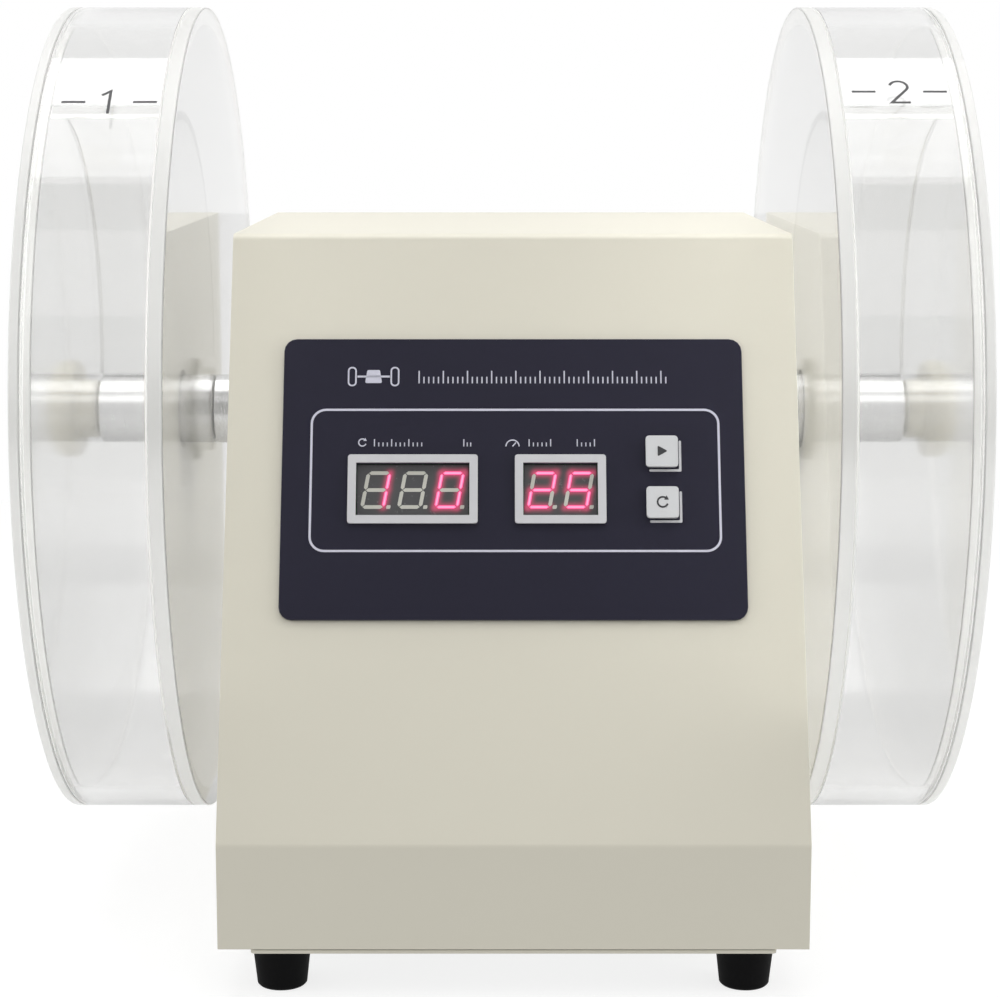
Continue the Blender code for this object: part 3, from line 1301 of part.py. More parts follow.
def make_vane(side, sign, axis):
    width = CHAMBER_DEPTH - 2 * GAP
    vane = plate(f"{side}_drum_vane", [vane_outline()], width)
    middle = sign * (BACK_DISC_FACE + CHAMBER_DEPTH / 2)
    finish(vane, CLEAR_ACRYLIC, axis, (middle, 0, 0), ALONG_X)
    inside = rods(
        f"vane_limit_{side}",
        DRUM_BORE_RADIUS - GAP,
        -width,
        width,
        [(0, 0)],
        DRUM_SIDES,
    )
    combine(vane, as_cutter(inside, axis, (middle, 0, 0), ALONG_X), "INTERSECT")
    reach = COVER_STEP_FACE + OVERRUN
    washer_end = BACK_DISC_FACE + HUB_COLLAR_LENGTH + WASHER_SHEET + 3 * GAP
    clear_profile = [
        (0, reach),
        (HUB_RING_RADIUS + GAP, reach),
        (HUB_RING_RADIUS + GAP, washer_end),
        (WASHER_RADIUS + GAP, washer_end),
        (WASHER_RADIUS + GAP, DRUM_STANDOFF),
        (0, DRUM_STANDOFF),
    ]
    hub_space = turned_outward(f"vane_hub_space_{side}", clear_profile, sign, ring=False)
    combine(vane, as_cutter(hub_space, axis, turn=ALONG_X))


def make_drum_cover(side, sign, axis):
    """The removable disc, with a step that enters the rim."""
    bore = SEAT_RADIUS + GAP
    step_radius = DRUM_BORE_RADIUS - GAP
    profile = [
        (bore, COVER_OUTER_FACE),
        (DRUM_RADIUS, COVER_OUTER_FACE),
        (DRUM_RADIUS, COVER_DISC_FACE),
        (step_radius, COVER_DISC_FACE),
        (step_radius, COVER_STEP_FACE),
        (bore, COVER_STEP_FACE),
    ]
    cover = turned_outward(f"{side}_drum_cover", profile, sign, DRUM_SIDES)
    finish(cover, CLEAR_ACRYLIC, axis, turn=ALONG_X)


def make_knob(side, sign, axis):
    """A domed knob with a blind bore that takes the spindle's stud."""
    seat = COVER_OUTER_FACE + GAP
    bore = STUD_RADIUS + GAP
    dome_start = seat + KNOB_LENGTH - KNOB_DOME_LENGTH
    dome = []
    for i in range(DOME_STEPS + 1):
        angle = math.pi / 2 * (1 - i / DOME_STEPS)
        dome.append(
            (KNOB_RADIUS * math.cos(angle), dome_start + KNOB_DOME_LENGTH * math.sin(angle))
        )
    dome[0] = (0, seat + KNOB_LENGTH)
    neck_end = seat + KNOB_NECK_LENGTH
    shoulder = []
    for i in range(SHOULDER_STEPS + 1):
        angle = math.pi / 2 * i / SHOULDER_STEPS
        shoulder.append((
            KNOB_RADIUS - KNOB_SHOULDER * (1 - math.cos(angle)),
            neck_end + KNOB_SHOULDER * (1 - math.sin(angle)),
        ))
    profile = dome + shoulder + [
        (KNOB_NECK_RADIUS, neck_end),
        (KNOB_NECK_RADIUS, seat),
        (bore, seat),
        (bore, seat + KNOB_BORE_DEPTH),
        (0, seat + KNOB_BORE_DEPTH),
    ]
    knob = turned_outward(f"{side}_knob", profile, sign, ring=False)
    finish(knob, IVORY_PLASTIC, axis, turn=ALONG_X)


def make_drums():
    for side, sign in SIDES.items():
        axis = make_empty(f"{side}_drum_axis", (0, 0, 0), None, SPINDLE_AXIS)
        make_drum_shell(side, sign, axis)
        make_drum_hub(side, sign, axis)
        make_vane(side, sign, axis)
        make_drum_cover(side, sign, axis)
        make_knob(side, sign, axis)


make_housing_cover()
make_base_plate()
make_feet()
make_rear_panel()
make_rear_screws()
make_power_inlet()
make_power_switch()
make_fuse_holder()
make_control_panel()
make_displays()
make_keys(make_display_board())
make_bearing_supports()
make_bearings()
make_spindle()
make_drive_gear()
make_encoder_disc()
make_sensor()
make_gear_motor()
make_motor_bracket()
make_pinion()
make_main_board()
make_transformer()
make_drums()
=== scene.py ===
"""Finish of a twin-drum tablet friability tester: clear drums, painted housing, control panel.

Lengths are in metres. The spindle lies along X, the sloping front faces -Y and the floor is
at Z = 0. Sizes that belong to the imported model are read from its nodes.
"""

import json
import math

import bmesh
import bpy
from bpy.props import FloatProperty, FloatVectorProperty, IntProperty, PointerProperty
from mathutils import Matrix, Vector

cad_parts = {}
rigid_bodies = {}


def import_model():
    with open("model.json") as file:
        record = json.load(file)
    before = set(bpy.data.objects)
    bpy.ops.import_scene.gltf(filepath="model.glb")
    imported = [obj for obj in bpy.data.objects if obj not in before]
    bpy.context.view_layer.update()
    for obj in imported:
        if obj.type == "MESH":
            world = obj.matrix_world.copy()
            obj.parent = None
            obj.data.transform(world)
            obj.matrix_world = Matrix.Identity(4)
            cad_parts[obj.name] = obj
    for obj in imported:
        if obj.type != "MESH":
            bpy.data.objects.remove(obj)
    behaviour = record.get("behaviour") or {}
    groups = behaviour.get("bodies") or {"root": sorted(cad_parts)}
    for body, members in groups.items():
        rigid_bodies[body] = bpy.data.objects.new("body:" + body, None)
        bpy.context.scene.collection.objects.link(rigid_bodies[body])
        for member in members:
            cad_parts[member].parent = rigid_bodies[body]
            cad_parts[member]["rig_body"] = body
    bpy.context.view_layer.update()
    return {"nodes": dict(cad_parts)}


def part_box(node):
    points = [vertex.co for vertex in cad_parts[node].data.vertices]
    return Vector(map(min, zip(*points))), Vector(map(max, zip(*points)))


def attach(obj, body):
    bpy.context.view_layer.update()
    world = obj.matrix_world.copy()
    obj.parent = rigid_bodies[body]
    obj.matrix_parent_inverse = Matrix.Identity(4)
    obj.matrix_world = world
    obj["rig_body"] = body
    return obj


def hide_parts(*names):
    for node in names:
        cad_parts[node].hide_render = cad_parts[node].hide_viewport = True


bl_info = {
    "name": "Friability tester finish",
    "version": (1, 0, 0),
    "blender": (4, 5, 0),
    "location": "3D View > Sidebar > Tester",
    "description": "Dresses the packed friability tester and lights it",
    "category": "Object",
}

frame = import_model()
NODES = frame["nodes"]
MATERIALS = {}

MM = 0.001
X, Y, Z = 0, 1, 2
SIDES = {"left": -1, "right": 1}
FRONT, BACK = Vector((0, -1, 0)), Vector((0, 1, 0))
Z_TO_BACK = Matrix(((-1, 0, 0), (0, 0, 1), (0, 1, 0))).to_4x4()
Z_TO_FLOOR = Matrix.Diagonal((1, -1, -1)).to_4x4()

# Points closer than MERGE are one; a section takes the corners within SECTION_GRIP of its
# plane and rounds them to ROUNDING decimals
MERGE = 0.01 * MM
SECTION_GRIP = 0.02 * MM
ROUNDING = 5

# A face looks a way when its normal's share of that way is above FACING. The shares along X
# tell a rim's ends and a disc's flats from what is round about them
FACING, RIM_END, DISC_FLAT = 0.5, 0.3, 0.94

FLAT_ANGLE = math.radians(0.4)
SHARP_ANGLE = math.radians(28)
WIDE_CORNER = math.radians(150)

# How much the edges of small, common and heavy pieces are eased
FINE_EDGE, EDGE, HEAVY_EDGE = 0.2 * MM, 0.3 * MM, 0.4 * MM

# Each rim's numeral, its place along X and its angle above the horizontal
MARKS = {
    "left": (1, -131.6 * MM, math.radians(50.2)),
    "right": (2, 133.7 * MM, math.radians(52.3)),
}

# Bars of a digit: places in half digits, across and up, and whether they stand
SEGMENTS = {
    "a": (0, 1, False), "b": (1, 0.5, True), "c": (1, -0.5, True), "d": (0, -1, False),
    "e": (-1, -0.5, True), "f": (-1, 0.5, True), "g": (0, 0, False),
}
LIT_SEGMENTS = {"0": "abcdef", "1": "bc", "2": "abged", "5": "afgcd", " ": ""}
READINGS = {"counter": "1 0", "speed": "25"}


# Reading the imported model


def node_points(node):
    return [v.co.copy() for v in NODES[node].data.vertices]


def middle_of(node):
    low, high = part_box(node)
    return (Vector(low) + Vector(high)) / 2


def nodes_named(start):
    return sorted(node for node in NODES if node.startswith(start))


def radius_about_spindle(node):
    return max(math.hypot(p.y, p.z - SPINDLE_Z) for p in node_points(node))


def corners_of(points):
    low = Vector([min(p[i] for p in points) for i in range(3)])
    high = Vector([max(p[i] for p in points) for i in range(3)])
    return low, high


def local_box(node, place):
    """Lowest and highest corner of a node, measured along another frame's axes."""
    inverse = place.inverted()
    return corners_of([inverse @ p for p in node_points(node)])


def face_frame(node, facing, rank=0):
    """Axes of one of a node's flat faces: X across, Y up and Z out of it, from its middle."""
    mesh = NODES[node].data
    groups = {}
    for face in mesh.polygons:
        if face.normal.dot(facing) > FACING:
            groups.setdefault(tuple(round(c, 2) for c in face.normal), []).append(face)
    ordered = sorted(groups.values(), key=lambda faces: -sum(face.area for face in faces))
    out = ordered[rank][0].normal.normalized()
    across = Vector((0, 0, 1)).cross(out).normalized()
    turn = Matrix((across, out.cross(across), out)).transposed().to_4x4()
    inverse = turn.inverted()
    points = [inverse @ mesh.vertices[i].co for face in ordered[rank] for i in face.vertices]
    low, high = corners_of(points)
    return Matrix.Translation(turn @ ((low + high) / 2)) @ turn


def meridian(node, centre, along, toward):
    """Corners (radius, place) of a turned node's section, read where it crosses one plane."""
    level = 3 - along - toward
    points = set()
    for p in node_points(node):
        offset = p - centre
        if abs(offset[level]) < SECTION_GRIP and offset[toward] > -SECTION_GRIP:
            radius = max(round(offset[toward], ROUNDING), 0.0)
            points.add((radius, round(abs(offset[along]), ROUNDING)))
    return points


def outline_of(points, bore=0.0):
    """Orders a section's corners: along its outer side, then back along its bore or axis."""
    outline = []
    for place in sorted({p for r, p in points}):
        last = outline[-1][0] if outline else bore
        radii = [r for r, p in points if p == place and r > bore]
        outline += [(r, place) for r in sorted(radii, key=lambda r: abs(r - last))]
    first, last = outline[0][1], outline[-1][1]
    return outline + [(bore, last), (bore, first)]


SPINDLE_Z = middle_of("spindle").z
SPINDLE = Vector((0, 0, SPINDLE_Z))
PANEL = face_frame("control_panel", FRONT)


# Node trees, for shaders and for geometry


def set_inputs(tree, node, **inputs):
    """Sets inputs by name, or by number after a _; a node as a value gives its first output."""
    for key, value in inputs.items():
        socket = node.inputs[int(key[1:])] if key[1:].isdigit() else node.inputs[key.replace("_", " ")]
        if isinstance(value, bpy.types.Node):
            value = value.outputs[0]
        if isinstance(value, bpy.types.NodeSocket):
            tree.links.new(value, socket)
        else:
            socket.default_value = value


def add_node(tree, kind, settings=None, **inputs):
    node = tree.nodes.new(kind)
    for key, value in (settings or {}).items():
        setattr(node, key, value)
    set_inputs(tree, node, **inputs)
    return node


def math_node(tree, operation, a, b=0.0):
    return add_node(tree, "ShaderNodeMath", {"operation": operation}, _0=a, _1=b)


def vector(tree, **parts):
    return add_node(tree, "ShaderNodeCombineXYZ", **parts)


def mix_numbers(tree, factor, first, second):
    return add_node(tree, "ShaderNodeMix", {"data_type": "FLOAT"}, _0=factor, _2=first, _3=second)


def between(tree, value, low, high, start=0.0, end=1.0, kind="LINEAR"):
    """Maps a value's range, from start to end, to the range from low to high."""
    return add_node(tree, "ShaderNodeMapRange", {"interpolation_type": kind},
                    _0=value, _1=start, _2=end, _3=low, _4=high)


def new_material(name):
    """A named finish; gives its tree and its main shader."""
    material = bpy.data.materials.new(name)
    material.use_nodes = True
    MATERIALS[name] = material
    return material.node_tree, material.node_tree.nodes["Principled BSDF"]


def coordinates(tree, stretch=(1, 1, 1)):
    place = add_node(tree, "ShaderNodeTexCoord").outputs["Object"]
    return add_node(tree, "ShaderNodeMapping", Vector=place, Scale=stretch)


def noise(tree, place, scale, detail=3.0):
    texture = add_node(tree, "ShaderNodeTexNoise", Vector=place, Scale=scale, Detail=detail)
    return texture.outputs["Fac"]


def attribute(tree, name):
    return add_node(tree, "ShaderNodeAttribute", {"attribute_name": name}).outputs["Fac"]


def blend_colours(tree, factor, first, second):
    mix = add_node(tree, "ShaderNodeMix", {"data_type": "RGBA"}, Factor=factor,
                   _6=(*first, 1), _7=(*second, 1))
    return mix.outputs[2]


def mix_shaders(tree, factor, first, second):
    """Ends a tree in a mix of two shaders."""
    mix = add_node(tree, "ShaderNodeMixShader", _0=factor, _1=first, _2=second)
    set_inputs(tree, tree.nodes["Material Output"], Surface=mix)


def linear(colour):
    """A display colour of 0 to 1 as the linear colour that shaders take."""
    return tuple(c / 12.92 if c <= 0.04045 else ((c + 0.055) / 1.055) ** 2.4 for c in colour)


def toned(colour, factor):
    return tuple(min(c * factor, 1) for c in colour)


# Finishes


def surface(name, colour, rough, metallic=0.0, mottle=0.06, mottle_scale=60.0, grain=0.0,
            grain_scale=900.0, stretch=(1, 1, 1), rough_spread=0.06, depth=0.03 * MM, specular=0.5):
    """A solid finish: two near tones in soft patches, uneven gloss and a fine grain."""
    tree, shader = new_material(name)
    place = coordinates(tree, stretch)
    tone = linear(colour)
    patches = noise(tree, place, mottle_scale)
    patchy = blend_colours(tree, patches, toned(tone, 1 - mottle), toned(tone, 1 + mottle / 2))
    fine = noise(tree, place, grain_scale, 4.0)
    gloss = between(tree, fine, rough - rough_spread, rough + rough_spread)
    set_inputs(tree, shader, Base_Color=patchy, Roughness=gloss, Metallic=metallic,
               Specular_IOR_Level=specular)
    if grain:
        bump = add_node(tree, "ShaderNodeBump", Strength=grain, Distance=depth, Height=fine)
        set_inputs(tree, shader, Normal=bump)


def acrylic(name, tint, clearness, rough, shade, glow=0.0):
    """Acrylic with faint wipe marks; light from the lamps passes it with little loss.

    A sheet carries light to its edges, which glow gives to the sawn ones.
    """
    tree, shader = new_material(name)
    haze_scale, haze_tone, wipe_scale, wipe_spread = 35.0, 0.985, 120.0, 0.2
    place = coordinates(tree)
    haze = noise(tree, place, haze_scale, 5.0)
    wipes = noise(tree, place, wipe_scale, 4.0)
    whole = linear(tint)
    bump = add_node(tree, "ShaderNodeBump", Strength=0.03, Distance=0.02 * MM, Height=haze)
    set_inputs(
        tree, shader, Base_Color=blend_colours(tree, haze, toned(whole, haze_tone), whole),
        Roughness=between(tree, wipes, rough * (1 - wipe_spread), rough * (1 + wipe_spread)),
        Normal=bump, Transmission_Weight=clearness, IOR=1.49,
        Emission_Color=(1, 1, 0.985, 1), Emission_Strength=glow,
    )
    passing = add_node(tree, "ShaderNodeBsdfTransparent", Color=(shade, shade, shade, 1))
    shadow = add_node(tree, "ShaderNodeLightPath").outputs["Is Shadow Ray"]
    mix_shaders(tree, shadow, shader, passing)


def glowing(name, core, edge, strength):
    """A lit bar whose colour runs from edge to core with its heart attribute."""
    tree, shader = new_material(name)
    colour = blend_colours(tree, attribute(tree, "heart"), linear(edge), linear(core))
    set_inputs(tree, shader, Emission_Color=colour, Emission_Strength=strength,
               Base_Color=(0.02, 0.01, 0.012, 1), Roughness=0.35)


def display_face(name, colour, halo):
    """Smoked window; its spill attribute is the red light that the lit bars throw on it."""
    tree, shader = new_material(name)
    fine_scale, lighter, smoothest, roughest = 700.0, 1.12, 0.22, 0.3
    fine = noise(tree, coordinates(tree), fine_scale)
    dark = linear(colour)
    spilled = blend_colours(tree, attribute(tree, "spill"), (0, 0, 0), linear(halo))
    set_inputs(tree, shader, Base_Color=blend_colours(tree, fine, dark, toned(dark, lighter)),
               Roughness=between(tree, fine, smoothest, roughest),
               Emission_Color=spilled, Emission_Strength=1.0)


def circuit_board(name, colour):
    """Coated board with lighter tracks between rows of pads."""
    tree, shader = new_material(name)
    pad_scale, track_width, second_pad, track = 90.0, 0.03, 0.9, 1.7
    fine_scale, smoothest, roughest = 500.0, 0.3, 0.42
    place = coordinates(tree)
    tone = linear(colour)
    bricks = add_node(
        tree, "ShaderNodeTexBrick", Vector=place, Scale=pad_scale, Mortar_Size=track_width,
        Color1=(*tone, 1), Color2=(*toned(tone, second_pad), 1), Mortar=(*toned(tone, track), 1),
    )
    fine = noise(tree, place, fine_scale)
    set_inputs(tree, shader, Base_Color=bricks.outputs["Color"],
               Roughness=between(tree, fine, smoothest, roughest))


def make_materials(colours):
    """Every finish of the tester."""
    surface("cream_paint", colours.paint, 0.42, mottle=0.02, mottle_scale=9.0, grain=0.25,
            grain_scale=650.0, rough_spread=0.04, depth=0.04 * MM)
    surface("navy_film", colours.film, 0.42, mottle=0.05, mottle_scale=20.0, grain=0.2,
            grain_scale=2200.0, depth=0.01 * MM, specular=0.3)
    surface("white_ink", (0.8, 0.8, 0.85), 0.5, mottle=0.04, specular=0.3)
    surface("dark_ink", (0.24, 0.24, 0.25), 0.5, mottle=0.15, mottle_scale=300.0)

    surface("black_rubber", colours.rubber, 0.72, mottle=0.2, grain=0.5, specular=0.12)
    surface("black_plastic", (0.13, 0.13, 0.135), 0.4, mottle=0.15, grain=0.35)
    surface("grey_plastic", (0.8, 0.8, 0.81), 0.4, mottle=0.03, grain=0.3, specular=0.3)
    surface("key_plastic", (0.81, 0.815, 0.82), 0.45, mottle=0.03, grain=0.3, specular=0.3)
    surface("ivory_plastic", (0.99, 0.965, 0.87), 0.3, mottle=0.03, grain=0.1)
    acrylic("clear_acrylic", colours.acrylic_tint, 1.0, 0.05, 0.97)
    acrylic("sawn_acrylic_edge", colours.frosted_tint, 0.6, 0.4, 0.95, 0.1)

    display_face("display_face", colours.window_colour, colours.halo_colour)
    glowing("lit_bar", colours.lit_core, colours.lit_edge, 1.1)
    surface("unlit_bar", (0.78, 0.78, 0.74), 0.35, mottle=0.05, mottle_scale=400.0)
    circuit_board("green_board", (0.1, 0.4, 0.2))
    surface("taped_winding", (0.72, 0.56, 0.2), 0.5, mottle=0.15, mottle_scale=120.0, grain=0.3)

    # Metals: colour, roughness, metallic, mottle and its scale, grain and its scale
    surface("zinc_steel", (0.76, 0.77, 0.76), 0.32, 1.0, 0.1, 40.0, 0.15, 400.0)
    surface("nickel", (0.78, 0.77, 0.74), 0.22, 1.0, 0.08, 80.0, 0.1)
    surface("bright_steel", (0.9, 0.9, 0.9), 0.26, 0.8, 0.05, 30.0, 0.06, 300.0,
            stretch=(9, 1, 1), rough_spread=0.04)
    surface("bearing_steel", (0.75, 0.75, 0.77), 0.28, 1.0, 0.08, 60.0, 0.15)
    surface("cast_aluminium", (0.78, 0.78, 0.79), 0.45, 1.0, 0.08, 80.0, 0.5, 500.0)
    surface("brass", (0.88, 0.76, 0.5), 0.3, 1.0, 0.1, 50.0, 0.15)
    surface("motor_steel", (0.5, 0.51, 0.53), 0.4, 0.6, 0.08, 60.0, 0.3)


# Making and placing pieces


def link_piece(name, mesh, body, replaced=()):
    """Shows a finished mesh as a piece that rides a body and stands for CAD nodes."""
    piece = bpy.data.objects.new(name, mesh)
    bpy.context.scene.collection.objects.link(piece)
    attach(piece, body)
    if replaced:
        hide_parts(*replaced)
    return piece


def smooth(mesh):
    for face in mesh.polygons:
        face.use_smooth = True
    mesh.set_sharp_from_angle(angle=SHARP_ANGLE)


def finished(builder, name, materials):
    mesh = bpy.data.meshes.new(name)
    builder.to_mesh(mesh)
    builder.free()
    for material in materials:
        mesh.materials.append(MATERIALS[material])
    smooth(mesh)
    return mesh


def mesh_from(builder, name, *materials):
    """The built mesh with its faces pointing outwards."""
    bmesh.ops.recalc_face_normals(builder, faces=builder.faces)
    return finished(builder, name, materials)


def merged_copy(node, name, *materials):
    """A node's mesh with its doubles merged and its flat triangles joined into flat faces."""
    builder = bmesh.new()
    builder.from_mesh(NODES[node].data)
    bmesh.ops.remove_doubles(builder, verts=builder.verts, dist=MERGE)
    bmesh.ops.dissolve_limit(builder, angle_limit=FLAT_ANGLE, verts=builder.verts, edges=builder.edges)
    return finished(builder, name, materials)


def repaint(mesh, material, test):
    """Gives the faces that pass a test a further material."""
    mesh.materials.append(MATERIALS[material])
    for face in mesh.polygons:
        if test(face):
            face.material_index = len(mesh.materials) - 1


def level_normals(piece):
    """Shades each wide face flat right up to the narrow faces that round its edges."""
    weighted = piece.modifiers.new("normals", "WEIGHTED_NORMAL")
    weighted.keep_sharp = True


def carry(node, name, slot, edge=0.0):
    """A CAD node's own shape with the finish of its slot, smoothed, its edges eased."""
    piece = link_piece(name, merged_copy(node, name, slot), NODES[node]["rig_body"], [node])
    if edge:
        bevel = piece.modifiers.new("edge", "BEVEL")
        bevel.width = edge
        bevel.segments = 2
        bevel.limit_method = "ANGLE"
        bevel.angle_limit = SHARP_ANGLE
        level_normals(piece)
    return piece


def eased(corners, radius, steps=4, axis=False):
    """A closed outline with its corners turned into arcs; with axis, those on the axis stay."""
    side_share = 0.48
    outline = []
    for i, corner in enumerate(corners):
        corner = Vector(corner)
        before = Vector(corners[i - 1]) - corner
        after = Vector(corners[(i + 1) % len(corners)]) - corner
        opening = before.angle(after)
        if opening > WIDE_CORNER or (axis and corner.x < MERGE):
            outline.append(corner)
            continue
        room = min(before.length, after.length) * side_share
        reach = min(radius / math.tan(opening / 2), room)
        start = corner + before.normalized() * reach
        end = corner + after.normalized() * reach
        bisector = (before.normalized() + after.normalized()).normalized()
        centre = corner + bisector * (reach / math.cos(opening / 2))
        first, last = start - centre, end - centre
        outline += [centre + first.slerp(last, k / steps) * first.length for k in range(steps + 1)]
    return outline


def rounded_box(middle, width, height, radius, steps):
    """A rectangle's outline about a middle, with rounded corners."""
    corners = ((-1, -1), (1, -1), (1, 1), (-1, 1))
    return eased([(middle[0] + x * width / 2, middle[1] + y * height / 2) for x, y in corners],
                 radius, steps)


def turned(outline, sides, place):
    """A ring or solid turned about place's Z from an outline of (radius, height) points."""
    builder = bmesh.new()
    rings = []
    for radius, height in outline:
        angles = [math.tau * k / sides for k in range(sides)] if radius >= MERGE else [0]
        rings.append([
            builder.verts.new(place @ Vector((radius * math.cos(a), radius * math.sin(a), height)))
            for a in angles
        ])
    for i, ring in enumerate(rings):
        following = rings[(i + 1) % len(rings)]
        if len(ring) == 1 and len(following) == 1:
            continue
        for k in range(sides):
            corners = [ring[k % len(ring)], ring[(k + 1) % len(ring)],
                       following[(k + 1) % len(following)], following[k % len(following)]]
            builder.faces.new(list(dict.fromkeys(corners)))
    return builder


def along_spindle(side):
    """A frame on the spindle whose Z points out to a side."""
    sign = SIDES[side]
    turn = Matrix(((0, 0, sign), (sign, 0, 0), (0, 1, 0))).to_4x4()
    return Matrix.Translation(SPINDLE) @ turn


def turned_piece(side, part, name, slot, edge, sides):
    """A turned and bored part of a drum, made again with eased edges and finer facets."""
    node = f"{side}_{part}"
    points = meridian(node, SPINDLE, X, Y)
    outline = eased(outline_of(points, min(r for r, p in points)), edge)
    mesh = mesh_from(turned(outline, sides, along_spindle(side)), name, slot)
    piece = link_piece(name, mesh, NODES[node]["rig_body"], [node])
    level_normals(piece)
    return piece


# Lines and flat marks


def on_plane(place):
    return lambda across, up, out: place @ Vector((across, up, out))


def on_rim(middle, angle, radius):
    """Places on a drum's outside, up along its curve from an angle above the horizontal."""
    def put(across, up, out):
        turn = angle + up / radius
        reach = radius + out
        return Vector((middle + across, -reach * math.cos(turn), SPINDLE_Z + reach * math.sin(turn)))
    return put


def arc(middle, radius, start, end, steps):
    """Points on an arc, angles in degrees."""
    angles = [math.radians(start + (end - start) * k / steps) for k in range(steps + 1)]
    return [Vector(middle) + radius * Vector((math.cos(a), math.sin(a))) for a in angles]


def divided(path, step):
    """A path with points added so that no stretch is longer than a step."""
    points = [Vector(path[0])]
    for start, end in zip(path, path[1:]):
        start, end = Vector(start), Vector(end)
        parts = max(1, math.ceil((end - start).length / step))
        points += [start.lerp(end, k / parts) for k in range(1, parts + 1)]
    return points


class Marks:
    """Thin raised marks; put turns (across, up, out) into a place on the object."""

    def __init__(self, put, low=0.01 * MM, high=0.08 * MM):
        self.builder = bmesh.new()
        self.put = put
        self.low = low
        self.high = high

    def corner(self, point, out):
        return self.builder.verts.new(self.put(point[0], point[1], out))

    def line(self, path, width, closed=False):
        """A line of even width along a path of (across, up) points, its corners mitred."""
        least_share = 0.4
        path = [Vector(point) for point in path]
        count = len(path)
        left, right = [], []
        for i, point in enumerate(path):
            headings = []
            if closed or i:
                headings.append((point - path[i - 1]).normalized())
            if closed or i < count - 1:
                headings.append((path[(i + 1) % count] - point).normalized())
            tangent = sum(headings, Vector((0, 0))).normalized()
            normal = Vector((-tangent.y, tangent.x))
            offset = normal * (width / 2 / max(tangent.dot(headings[0]), least_share))
            left.append(point + offset)
            right.append(point - offset)
        rails = []
        for side, out in ((left, self.high), (right, self.high), (right, self.low), (left, self.low)):
            rails.append([self.corner(point, out) for point in side])
        for i in range(count if closed else count - 1):
            k = (i + 1) % count
            for a, b in zip(rails, rails[1:] + rails[:1]):
                self.builder.faces.new((a[i], a[k], b[k], b[i]))
        if not closed:
            self.builder.faces.new([rail[0] for rail in rails])
            self.builder.faces.new([rail[-1] for rail in reversed(rails)])

    def shape(self, outline):
        """A flat shape with an outline of (across, up) points."""
        top = [self.corner(point, self.high) for point in outline]
        bottom = [self.corner(point, self.low) for point in outline]
        self.builder.faces.new(top)
        self.builder.faces.new(bottom[::-1])
        for i, corner in enumerate(top):
            self.builder.faces.new((top[i - 1], corner, bottom[i], bottom[i - 1]))

    def arrow_ring(self, middle, radius, width):
        """A circular arrow: most of a ring that ends in a head."""
        start, end, steps = 60, 340, 20
        head_width, head_length = 3 * width, 2.4 * width
        self.line(arc(middle, radius, start, end, steps), width)
        outward = Vector((math.cos(math.radians(start)), math.sin(math.radians(start))))
        along = Vector((outward.y, -outward.x))
        base = Vector(middle) + outward * radius
        spread = outward * head_width / 2
        self.shape([base + spread, base - spread, base + along * head_length])

    def show(self, name, body, material):
        """Ends the marks as one piece that rides a body."""
        link_piece(name, mesh_from(self.builder, name, material), body)


# Geometry Nodes


INPUT_KINDS = {"Geometry": "Geometry", "Piece": "Object", "Sides": "Int", "Ticks": "Int",
               "Tall Every": "Int", "Material": "Material", "Lit": "Material", "Unlit": "Material"}


def geometry_tree(name, *inputs):
    """A tree with its input and output nodes; an input that INPUT_KINDS leaves out is a size."""
    tree = bpy.data.node_groups.new(name, "GeometryNodeTree")
    for label in ("Geometry", *inputs):
        kind = "NodeSocket" + INPUT_KINDS.get(label, "Float")
        tree.interface.new_socket(label, in_out="INPUT", socket_type=kind)
    tree.interface.new_socket("Geometry", in_out="OUTPUT", socket_type="NodeSocketGeometry")
    given = tree.nodes.new("NodeGroupInput").outputs
    result = tree.nodes.new("NodeGroupOutput")
    return tree, given, result


def realized(tree, geometry):
    return add_node(tree, "GeometryNodeRealizeInstances", Geometry=geometry)


def close_tree(tree, result, geometry, material):
    """Ends a tree as real geometry with one material."""
    real = realized(tree, geometry)
    painted = add_node(tree, "GeometryNodeSetMaterial", Geometry=real, Material=material)
    set_inputs(tree, result, Geometry=painted)
    return tree


def piece_given(tree, given):
    return add_node(tree, "GeometryNodeObjectInfo", Object=given["Piece"]).outputs["Geometry"]


def point_value(tree, name):
    return add_node(tree, "GeometryNodeInputNamedAttribute", {"data_type": "FLOAT"}, Name=name)


def at_points(tree, given, piece, **inputs):
    """A copy of a shape at each given point, turned about Z by the point's turn value."""
    turn = vector(tree, Z=point_value(tree, "turn"))
    return add_node(tree, "GeometryNodeInstanceOnPoints", Points=given["Geometry"],
                    Instance=piece, Rotation=turn, **inputs)


def grown(name, tree, values, mesh=None):
    """Runs a tree once on a mesh and gives back the plain mesh that it makes."""
    holder = bpy.data.objects.new(name + "_maker", mesh or bpy.data.meshes.new(name + "_seed"))
    bpy.context.scene.collection.objects.link(holder)
    modifier = holder.modifiers.new("maker", "NODES")
    modifier.node_group = tree
    for item in tree.interface.items_tree:
        if item.item_type == "SOCKET" and item.in_out == "INPUT" and item.name in values:
            modifier[item.identifier] = values[item.name]
    evaluated = holder.evaluated_get(bpy.context.evaluated_depsgraph_get())
    result = bpy.data.meshes.new_from_object(evaluated)
    result.name = name
    for slot in reversed(range(len(result.materials))):
        if result.materials[slot] is None:
            result.materials.pop(index=slot)
    holder.modifiers.remove(modifier)
    bpy.data.objects.remove(holder)
    return result


def set_attribute(mesh, name, values):
    layer = mesh.attributes.new(name, "FLOAT", "POINT")
    for item, value in zip(layer.data, values):
        item.value = value


def point_mesh(name, places, **attributes):
    """A mesh of loose points with a value per point for each attribute."""
    mesh = bpy.data.meshes.new(name)
    mesh.from_pydata([tuple(p) for p in places], [], [])
    for key, values in attributes.items():
        set_attribute(mesh, key, values)
    return mesh


